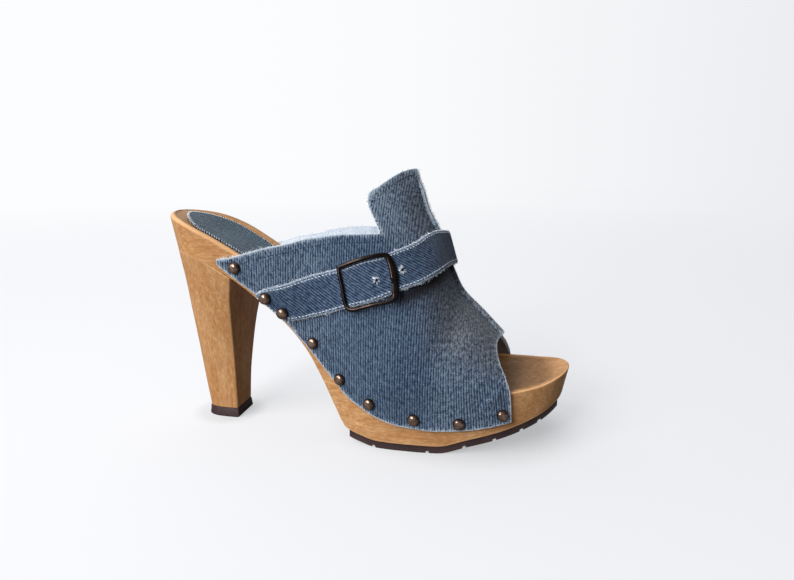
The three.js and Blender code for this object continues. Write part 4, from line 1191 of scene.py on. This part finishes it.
def upper_values(half):
    """Twill coordinates, raw edges, wear, grime and the painted shadow under the strap of one half, after the
    photo.
    """
    x, turn, side = half["x"], half["turn"], half["side"]
    points, first = half["outside"], half["first_crest"]
    share = x / LENGTH
    from_crest = half["run"][:, -1:] - half["run"]
    edges = np.concatenate([
        points[:, 0], points[0], points[-1], points[: first + 1, -1],
        half["inside"][-1], half["inside"][: first + 1, -1],
    ])
    edge = nearest(points, edges)
    crest_band = np.zeros(x.shape)
    crest_band[first:] = 1 - smooth_step(from_crest[first:], 0.8, 7.0)
    fan = smooth_step(share, 0.66, 0.9) * (points[..., 2] - FOREFOOT_LEVEL) * 0.16
    on_tab = 0.18 * smooth_step(turn, 0.46, 0.62) * (1 - smooth_step(share, 0.6, 0.66))
    soil = 0.85 * smooth_step(share, 0.6, 0.74) * smooth_step(turn, 0.05, 0.5)
    wear = (1 - 0.55 * smooth_step(share, 0.64, 0.7)) * crest_band + 0.08
    wear += 0.7 * np.exp(-np.maximum(edge - 0.5, 0) ** 2)
    wear += 0.62 * smooth_step(turn, 0.42, 0.62) * (1 - smooth_step(share, 0.62, 0.68))
    wear += 0.25 * smooth_step(share, 0.66, 0.72)
    wear += 0.25 * (1 - smooth_step(share, 0.38, 0.5))
    seam_edge = np.full(x.shape, 9.0)
    past_strap = smooth_step(share, 0.64, 0.69)
    inner_line = np.abs(from_crest - 2.6) + 4 * past_strap
    seam_lines = np.minimum(np.abs(from_crest - 0.5), inner_line) * (1.3 + 1.5 * past_strap)
    seam_edge[first:] = (seam_lines - 0.1 + 0.35 * past_strap)[first:]
    t = np.linspace(0, 1, 60)
    stops = np.linspace(0, 1, len(UNDER_STRAP))
    along, turns = (np.interp(t, stops, column) for column in np.transpose(UNDER_STRAP))
    under_strap = last_point(along * LENGTH, turns, side)
    # Painted shadow under the strap: darkest along UNDER_STRAP, fading out over about 4 mm.
    strap_shadow = 0.96 * np.exp(-((nearest(half["inside"], under_strap) / 4.2) ** 2))
    return {
        "strap_shadow": strap_shadow,
        "across": points[..., 0] + fan + on_tab * (x - 0.57 * LENGTH), "down": half["run"],
        "edge": np.minimum(edge, seam_edge), "wear": wear, "soil": np.clip(soil, 0, 1),
    }


def rim(shape, outside, inside, outward, raw, bulge=0.25):
    """The cloth's raw thickness between its face and its lining."""
    shares = np.array([0, 0.3, 0.65, 1.0])[None, :, None]
    ragged = chance.uniform(-0.12, 0.22, (len(outside), 4, 1)) * np.array([0, 1, 1, 0])[None, :, None]
    points = outside[:, None] * (1 - shares) + inside[:, None] * shares
    points = points + outward[:, None] * (bulge * 4 * shares * (1 - shares) + ragged)
    shape.grid(points, **{**CLOTH_VALUES, "edge": raw, "across": points[..., 0], "down": points[..., 2]})


LINING_BLUE = (0.60, 0.67, 0.76)
LINING_PALE = (0.74, 0.79, 0.86)
LINING_DARK = (0.30, 0.37, 0.46)
# Dark brown of the lining at the toe: soiling and painted shade of the interior.
LINING_SOIL_AND_SHADE = (0.085, 0.050, 0.032)
# Loose threads along each edge: how many to the millimetre and how long.
FRINGE = {"hem": (3, 0.4), "top": (11, 0.9), "toe": (5, 0.6), "back": (5, 0.6)}
# Share of LENGTH from which the seam's raw edges are rubbed short.
SEAM_RUBBED = 0.685
SEWN = {"step": 2.1, "stitch": 1.5, "thick": 0.2, "rise": 0.12}


def lining(name):
    """Pale blue cotton lining, felted by wear, turned brown where the toes rub it and darkened there by painted
    shade of the shoe's interior.
    """
    made, tree, shader = material(name, Roughness=0.95, Specular_IOR_Level=0.15, Sheen_Weight=0.2)
    place = position_mm(tree)
    cloud = noise(tree, place, 0.16, 4.0)
    fuzz = noise(tree, place, 1.3, 4.0, 0.7)
    colour = mixed(tree, ranged(tree, cloud, 0.35, 0.7), LINING_BLUE, LINING_PALE)
    colour = mixed(tree, ranged(tree, fuzz, 0.48, 0.3), colour, LINING_DARK)
    colour = mixed(tree, value_of(tree, "soil"), colour, LINING_SOIL_AND_SHADE)
    fed(tree, shader, Base_Color=colour, Normal=bumped(tree, fuzz, 0.5, 0.0003))
    return made


upper = Shape()
upper_thread = Shape()
sewing = Shape()
halves = {side: cloth_half(side) for side in (OUTER, INNER)}
for side, half in halves.items():
    outside, inside, normals, first = half["outside"], half["inside"], half["normals"], half["first_crest"]
    upper.grid(outside, **upper_values(half))
    # Darker towards the toe: soiled where the toes rub, and painted shade of the interior.
    browned_and_shaded = 0.92 * smooth_step(half["x"] / LENGTH, 0.6, 0.78)
    upper.grid(inside, finish=1, **{**CLOTH_VALUES, "edge": -0.6, "soil": browned_and_shaded})
    to_tip = slice(first + 1)
    edges = {
        "hem": (outside[:, 0], inside[:, 0], outside[:, 2], normals[:, 0]),
        "top": (outside[to_tip, -1], inside[to_tip, -1], outside[to_tip, -3], normals[to_tip, -1]),
        "toe": (outside[-1], inside[-1], outside[-4], normals[-1]),
        "back": (outside[0], inside[0], outside[2], normals[0]),
    }
    for name, (face, back, within, up) in edges.items():
        outward = unit(face - within)
        rim(upper, face, back, outward, -0.6 if name in ("top", "toe") else 0.2)
        middle = (face + back) / 2
        dense, long = FRINGE[name]
        frayed(upper_thread, middle, outward, up, per_mm=dense, reach=long, thick=0.08, spread=WALL * 0.9)
    crest = outside[first:, -4]
    crest_up = unit(normals[first:, -4] + 0.4 * unit(outside[first:, -1] - crest))
    crest_side = unit(crest - outside[first:, -7])
    below = int(np.argmax(half["x"][first:, -1] > SEAM_RUBBED * LENGTH))
    for part, dense, long, spread in ((slice(below), 13, 0.8, 0.9), (slice(below, None), 5, 0.5, 0.5)):
        frayed(upper_thread, crest[part], crest_up[part], crest_side[part], dense, long, 0.1, spread)
    row = 1 - len(SEAM["away"])
    running(sewing, outside[first:, row], normals[first:, row], tone=0.5, **SEWN)
    running(sewing, outside[2 : first + 1, -11], normals[2 : first + 1, -11], tone=0.4, **SEWN)

upper_finishes = [denim("upper_denim", 1.26, (0.80, 0.82, 0.84)), lining("lining")]
upper_cloth = upper.build("upper_cloth", upper_finishes, sharp=60)
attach(upper_cloth, "root")
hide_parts("upper")
for shape, name, thread in ((upper_thread, "upper_fringe", WHITE_THREAD), (sewing, "upper_stitches", DARK_THREAD)):
    made = shape.build(name, [thread])
    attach(made, "root")

# Strap: a band of denim cut on the cross, sewn near both raw edges, nailed under the hem
# on both sides and lying over the standing seam.
STRAP_THICK = 1.8
STRAP_SEAT = WALL + GAP + 0.1
SEAM_REACH = 7.5
STRAP = table(
    "low low_turn high high_turn inner",
    (0.276, -0.97, 0.2735, -0.88, 0),
    (0.31, -0.96, 0.3002, -0.275, 0),
    (0.348, -0.75, 0.335, 0.045, 0),
    (0.385, -0.17, 0.3744, 0.115, 0),
    (0.4211, 0.053, 0.418, 0.185, 0),
    (0.4876, 0.158, 0.4778, 0.268, 0),
    (0.536, 0.227, 0.526, 0.345, 0.002),
    (0.603, 0.365, 0.576, 0.447, 0.004),
    (0.6524, 0.515, 0.6173, 0.595, 0.007),
    (0.672, 0.657, 0.6388, 0.735, 0.007),
    (0.6855, 0.856, 0.657, 0.897, 0.004),
    (0.692, 1, 0.6648, 1, 0),
)
STRAP_STEPS = 210
# Punched holes, as share of LENGTH and turn on the outer side; each is a dent in the strap painted near-black as
# the shade inside the hole.
HOLES = ((0.5562, 0.326), (0.6051, 0.445))
HOLE_RADIUS = 0.95
HOLE_SHADE = (0.004, 0.004, 0.006)
HOLE_THREADS = 30


def strap_place(length, across, side):
    """length: 0 at the hem, 1 at the crest; across: 0 low edge, 1 high edge."""
    edges = []
    for name in ("low", "high"):
        x = (STRAP[name] + STRAP["inner"] * (side == INNER)) * LENGTH
        flat = np.stack([x, laid_flat(x, STRAP[name + "_turn"], side)], -1)
        place = run_along(flat)
        edges.append([through(place / place[-1], flat[:, k])(length) for k in (0, 1)])
    x, girth = np.array(edges[0]) * (1 - across) + np.array(edges[1]) * across
    return x, np.where(length > 0.9999, 1.0, drawn_over(x, girth, side))


def strap_point(x, turn, side, height):
    """Point a given height above the last form; near the crest it clears the standing seam."""
    base = last_point(x, turn, side)
    away = np.linalg.norm(base - last_point(x, np.ones_like(turn), side), axis=-1)
    near = np.exp(-((away / SEAM_REACH) ** 2))
    x, turn = np.broadcast_arrays(np.asarray(x, float), np.asarray(turn, float))
    own = last_normal(x, turn, side)
    shared = unit(own + last_normal(x, turn, -side) * np.exp(-((away / 3.0) ** 2))[..., None])
    lift = np.asarray(height + (SEAM_RAISE + 0.3) * near)
    return base + shared * lift[..., None], shared


strap = Shape()
length = np.linspace(0, 1, STRAP_STEPS)
margins = np.array([0, 0.015, 0.04, 0.075])
across = np.concatenate([margins, np.linspace(0.12, 0.88, 24), 1 - margins[::-1]])
grid_length, grid_across = np.meshgrid(length, across, indexing="ij")
sheets = {}
for side in (OUTER, INNER):
    x, turn = strap_place(grid_length, grid_across, side)
    base, _ = strap_point(x, turn, side, np.zeros(x.shape))
    slack = smooth_step(grid_length, 0.67, 0.8) * (1 - 0.75 * smooth_step(grid_length, 0.88, 1.0))
    slack *= 2.2 - 1.6 * grid_across
    lifted_from = 0.74 if side == OUTER else 0.93
    slack += 1.6 * smooth_step(grid_length, lifted_from, 1.0) * grid_across
    height = STRAP_SEAT + STRAP_THICK + slack
    height -= 0.35 * np.exp(-((np.minimum(grid_across, 1 - grid_across) / 0.02) ** 2))
    hole = np.zeros(x.shape)
    if side == OUTER:
        for share, hole_turn in HOLES:
            centre = last_point(share * LENGTH, hole_turn, OUTER)
            away = np.linalg.norm(last_point(x, turn, side) - centre, axis=-1)
            hole = np.maximum(hole, np.exp(-((away / HOLE_RADIUS) ** 4)))
            height += 0.25 * np.exp(-(((away - 1.6) / 0.7) ** 2))
    height -= 1.3 * hole
    face, up = strap_point(x, turn, side, height)
    back, _ = strap_point(x, turn, side, STRAP_SEAT + slack)
    sheets[side] = {"face": face, "back": back, "up": up, "hole": hole}

# One sheet from the outer hem over the crest to the inner hem.
joined = {
    name: np.concatenate([sheets[OUTER][name], sheets[INNER][name][::-1][1:]])
    for name in ("face", "back", "up", "hole")
}
face, back, up = joined["face"], joined["back"], joined["up"]
middle_row = face[:, len(across) // 2]
run = run_along(middle_row)[:, None]
width = np.linalg.norm(face[:, -1] - face[:, 0], axis=1)[:, None] * across[None]
SLANT = math.radians(52)
strap_values = {
    "across": run * math.sin(SLANT) + width * math.cos(SLANT),
    "down": run * math.cos(SLANT) - width * math.sin(SLANT),
    "edge": np.minimum(np.minimum(width, width[:, -1:] - width), np.minimum(run, run[-1] - run)),
    "wear": 0.75 * np.exp(-((np.minimum(width, width[:, -1:] - width) - 1.2) / 0.9) ** 2) + 0.06,
    "soil": 0.0,
    "strap_shadow": 0.0,
    "hole": joined["hole"],
}
strap.grid(face, **strap_values)
strap.grid(back, **{**strap_values, "edge": 9.0, "hole": 0.0})
for column, beside in ((0, 2), (-1, -3)):
    outward = unit(face[:, column] - face[:, beside])
    shares = np.array([0, 0.35, 0.7, 1.0])[None, :, None]
    points = face[:, column][:, None] * (1 - shares) + back[:, column][:, None] * shares
    points = points + outward[:, None] * 0.3 * (4 * shares * (1 - shares))
    strap.grid(points, **{**CLOTH_VALUES, "edge": 0.3, "hole": 0.0, "across": run, "down": width[:, :1]})
for row in (0, -1):
    strap.grid(np.stack([face[row], back[row]], 1), **{**CLOTH_VALUES, "edge": 0.3, "hole": 0.0})


def strap_denim():
    made = denim("strap_denim", 1.34, (0.70, 0.74, 0.80))
    tree = made.node_tree
    shader = tree.nodes["Principled BSDF"]
    plain = shader.inputs["Base Color"].links[0].from_socket
    # Painted shade in the punched holes: near-black over each dent.
    fed(tree, shader, Base_Color=mixed(tree, value_of(tree, "hole"), plain, HOLE_SHADE))
    return made


strap_cloth = strap.build("strap_cloth", [strap_denim()], sharp=60)
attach(strap_cloth, "root")
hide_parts("strap")

strap_thread = Shape()
for column, beside, sewn in ((0, 2, 3), (-1, -3, -4)):
    outward = unit(face[:, column] - face[:, beside])
    middle = (face[:, column] + back[:, column]) / 2
    frayed(strap_thread, middle, outward, up[:, column], 9, 0.75, 0.085, spread=STRAP_THICK)
    running(strap_thread, face[:, sewn], up[:, sewn], 1.9, 1.3, 0.17, 0.1, 0.55)
for share, hole_turn in HOLES:
    sheet = sheets[OUTER]
    seat, _ = strap_point(share * LENGTH, hole_turn, OUTER, STRAP_SEAT)
    away = np.linalg.norm(sheet["face"] - seat, axis=-1)
    spot = np.unravel_index(np.argmin(away), away.shape)
    around = (slice(spot[0] - 4, spot[0] + 5), slice(spot[1] - 2, spot[1] + 3))
    centre_up = unit(sheet["up"][around].mean((0, 1)))
    centre = sheet["face"][around].mean((0, 1))
    centre = centre + centre_up * ((sheet["face"][around] - centre) @ centre_up).max()
    sideways = unit(np.cross(centre_up, (0, 0, 1)))
    angle = chance.normal(-0.5, 1.5, (HOLE_THREADS, 1))
    ray = sideways * np.cos(angle) + np.cross(sideways, centre_up) * -np.sin(angle)
    start = centre + ray * chance.uniform(0.6, 1.0, (HOLE_THREADS, 1)) - centre_up * 0.25
    t = np.linspace(0, 1, 4)[None, :, None]
    reach = chance.uniform(0.7, 2.3, (HOLE_THREADS, 1, 1))
    paths = start[:, None] + ray[:, None] * reach * t + centre_up * 1.2 * t * (1 - t)
    radii = 0.12 * np.array([0.5, 1, 0.8, 0])[None] * np.ones((HOLE_THREADS, 1))
    strap_thread.threads(paths, radii, tone=chance.uniform(0, 0.5, HOLE_THREADS))
strap_fringe = strap_thread.build("strap_fringe", [WHITE_THREAD])
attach(strap_fringe, "root")

# Buckle: a cast frame in antique dark bronze, its front bar heavier and bowed, with a notch
# for a prong worn smooth. The strap runs under both upright bars.
BUCKLE_BAR = 2.4
BUCKLE_THICK = 2
BUCKLE_SEAT = STRAP_SEAT + STRAP_THICK + GAP
BUCKLE = table(
    "share turn bar",
    (0.479, 0.262, 0.9),
    (0.491, 0.219, 0.8),
    (0.5055, 0.178, 0.9),
    (0.515, 0.181, 1.0),
    (0.552, 0.245, 1.0),
    (0.588, 0.312, 1.1),
    (0.5945, 0.332, 1.45),
    (0.5905, 0.372, 1.85),
    (0.5785, 0.409, 1.7),
    (0.5655, 0.42, 1.3),
    (0.553, 0.399, 1.0),
    (0.518, 0.331, 1.0),
    (0.4865, 0.276, 1.0),
)
BUCKLE_STEPS = 18
ASKEW = math.radians(3.8)
NOTCH_AT = 7.0


def closed_curve(points, steps):
    """Centripetal curve round closed points, with the values that come with them."""
    before, here, ahead, beyond = (np.roll(points, k, axis=0) for k in (1, 0, -1, -2))

    def span(first, second):
        return np.linalg.norm((second - first)[:, :3], axis=1)[:, None] ** 0.5

    d0, d1, d2 = span(before, here), span(here, ahead), span(ahead, beyond)
    start = ((here - before) / d0 - (ahead - before) / (d0 + d1) + (ahead - here) / d1) * d1
    stop = ((ahead - here) / d1 - (beyond - here) / (d1 + d2) + (beyond - ahead) / d2) * d1
    t = (np.arange(steps) / steps)[None, :, None]
    here, ahead, start, stop = (part[:, None] for part in (here, ahead, start, stop))
    made = here * (1 + 2 * t) * (1 - t) ** 2 + ahead * t * t * (3 - 2 * t)
    made = made + start * t * (1 - t) ** 2 + stop * t * t * (t - 1)
    return made.reshape(-1, points.shape[1])


x, turn = BUCKLE["share"] * LENGTH, BUCKLE["turn"]
# It sits askew on the strap, turned a few degrees.
flat = np.stack([x, laid_flat(x, turn, OUTER)], -1)
askew = np.array(((math.cos(ASKEW), -math.sin(ASKEW)), (math.sin(ASKEW), math.cos(ASKEW))))
x, girth = ((flat - flat.mean(0)) @ askew + flat.mean(0)).T
turn = drawn_over(x, girth, OUTER)
spots, _ = strap_point(x, turn, OUTER, np.full(len(x), BUCKLE_SEAT + BUCKLE_THICK / 2))
facing = last_normal(x, turn, OUTER)
bar_line = closed_curve(np.column_stack([spots, facing, BUCKLE["bar"] * BUCKLE_BAR]), BUCKLE_STEPS)
spine, facing, bar = bar_line[:, :3], unit(bar_line[:, 3:6]), bar_line[:, 6]
way = unit(np.roll(spine, -1, axis=0) - np.roll(spine, 1, axis=0))
sideways = unit(np.cross(way, facing))
upward = np.cross(sideways, way)
at = np.arange(len(spine)) / BUCKLE_STEPS
notch = np.exp(-(((at - NOTCH_AT) / 0.22) ** 2))
ridge = np.exp(-(((np.abs(at - NOTCH_AT) - 0.42) / 0.14) ** 2))
angle = 2 * np.pi * np.arange(20) / 20


def rounded(value, power):
    return np.sign(value) * np.abs(value) ** power


thick = (BUCKLE_THICK / 2) * (1 - 0.5 * notch + 0.12 * ridge)
wide = (bar / 2) * (0.86 - 0.2 * notch + 0.08 * ridge)
outwards = unit(spine - spine.mean(0))
outwards = unit(outwards - upward * (outwards * upward).sum(-1, keepdims=True))
spine = spine + outwards * 0.55
ring = sideways[:, None] * (rounded(np.cos(angle), 0.7)[None] * wide[:, None])[..., None]
ring = ring + upward[:, None] * (rounded(np.sin(angle), 0.7)[None] * thick[:, None])[..., None]
buckle = Shape()
crown = np.clip(np.sin(angle), 0, 1) ** 2 * (0.4 + 0.6 * np.abs(np.cos(angle)) ** 4)
buckle.grid(np.concatenate([spine[:, None] + ring, spine[:1, None] + ring[:1]]), wrap=True,
            worn=np.broadcast_to(crown[None], (len(spine) + 1, 20)))


def antique(name, dark, metal, glow, rough, bump=0.2):
    """Old bronze: dark lacquered metal, rubbed to its colour on what stands proud."""
    made, tree, shader = material(name, Metallic=0.9, Roughness=rough)
    place = position_mm(tree)
    cloud = noise(tree, place, 0.55, 4.0)
    pits = noise(tree, place, 3.2, 3.0)
    shown = times(tree, value_of(tree, "worn"), ranged(tree, cloud, 0.3, 0.65, 0.35, 1.0))
    colour = mixed(tree, ranged(tree, cloud, 0.35, 0.7), dark, metal)
    colour = mixed(tree, shown, colour, glow)
    roughness = ranged(tree, pits, 0.3, 0.75, rough - 0.06, rough + 0.12)
    fed(tree, shader, Base_Color=colour, Roughness=roughness, Normal=bumped(tree, pits, bump, 0.00015))
    return made


buckle_metal = antique("buckle_metal", (0.005, 0.004, 0.004), (0.012, 0.008, 0.007), (0.055, 0.036, 0.028), 0.22)
buckle_frame = buckle.build("buckle_frame", [buckle_metal])
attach(buckle_frame, "root")
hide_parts("buckle")

# Nails: domed upholstery nails in antique brass, driven through the
# hem and the strap's ends into the side of the wood.
NAIL_RINGS = table(
    "radius height worn",
    (0.90, 0.0, 0.0), (1.0, 0.05, 0.15), (1.0, 0.16, 0.25), (0.985, 0.28, 0.2), (0.95, 0.42, 0.15),
    (0.88, 0.58, 0.2), (0.78, 0.73, 0.35), (0.64, 0.85, 0.6), (0.46, 0.94, 0.85), (0.24, 0.985, 1.0),
    (0.0, 1.0, 1.0),
)
NAIL_HEAD = 6.6
NAIL_CROWN = 6.1
NAIL_DOME = 2.3
nail_metal = antique(
    "nail_metal", (0.020, 0.012, 0.010), (0.075, 0.042, 0.030), (0.40, 0.27, 0.20), 0.18, bump=0.06,
)


def nail_axis(name):
    """Middle of a nail's head on the cloth and the way it points, read from its solid."""
    points = np.array([v.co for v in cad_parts[name].data.vertices]) / MM - SHOE_ORIGIN / MM
    points = np.unique(np.round(points, 4), axis=0)
    centred = points - points.mean(0)
    spread, ways = np.linalg.eigh(centred.T @ centred)
    odd = np.argmax(np.abs(spread - np.median(spread)))
    way = ways[:, odd]
    height = centred @ way
    radius = np.linalg.norm(centred - height[:, None] * way, axis=1)
    head = radius > NAIL_HEAD / 2 * 0.9
    if height[head].mean() < height[~head].mean():
        way, height = -way, -height
    seat = height[radius > radius.max() - 0.01].min()
    return points.mean(0) + way * seat, way


def nail_dome(shape, seat, way, radius, height):
    """A domed head standing on a place."""
    sideways = unit(np.cross(way, (0.0, 1.0, 0.2)))
    upward = np.cross(way, sideways)
    angle = 2 * np.pi * np.arange(28) / 28
    round_way = sideways * np.cos(angle)[:, None] + upward * np.sin(angle)[:, None]
    uneven = 1 + 0.012 * np.sin(angle * 3 + chance.uniform(0, 6))
    radii = NAIL_RINGS["radius"][:, None] * radius * uneven
    points = seat + round_way[None] * radii[..., None] + way * (NAIL_RINGS["height"] * height)[:, None, None]
    shape.grid(points, wrap=True, worn=NAIL_RINGS["worn"][:, None])
    shape.grid(np.stack([points[0], np.tile(seat - way * 0.2, (28, 1))]), wrap=True, worn=0)


for name in [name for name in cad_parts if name.startswith("nail_")]:
    seat, way = nail_axis(name)
    nail = Shape()
    nail_dome(nail, seat, way, NAIL_CROWN / 2, NAIL_DOME)
    dome = nail.build(name + "_dome", [nail_metal])
    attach(dome, "root")
    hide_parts(name)

# Pad tack: one small dark tack of the nails' metal, driven through the pad near its outer
# edge into the wood.
TACK_ALONG = 0.11
TACK_RADIUS = 0.85
TACK_DOME = 0.4
tack_x = TACK_ALONG * LENGTH
tack_y = centre_at(tack_x) - (half_at(tack_x) - PAD_MARGIN) * 0.86
tack_seat = np.array((tack_x, tack_y, footbed_level(tack_x, tack_y) + pad_top))
tack = Shape()
nail_dome(tack, tack_seat, np.array((0.0, 0.0, 1.0)), TACK_RADIUS, TACK_DOME)
pad_tack = tack.build("pad_tack", [nail_metal])
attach(pad_tack, "root")
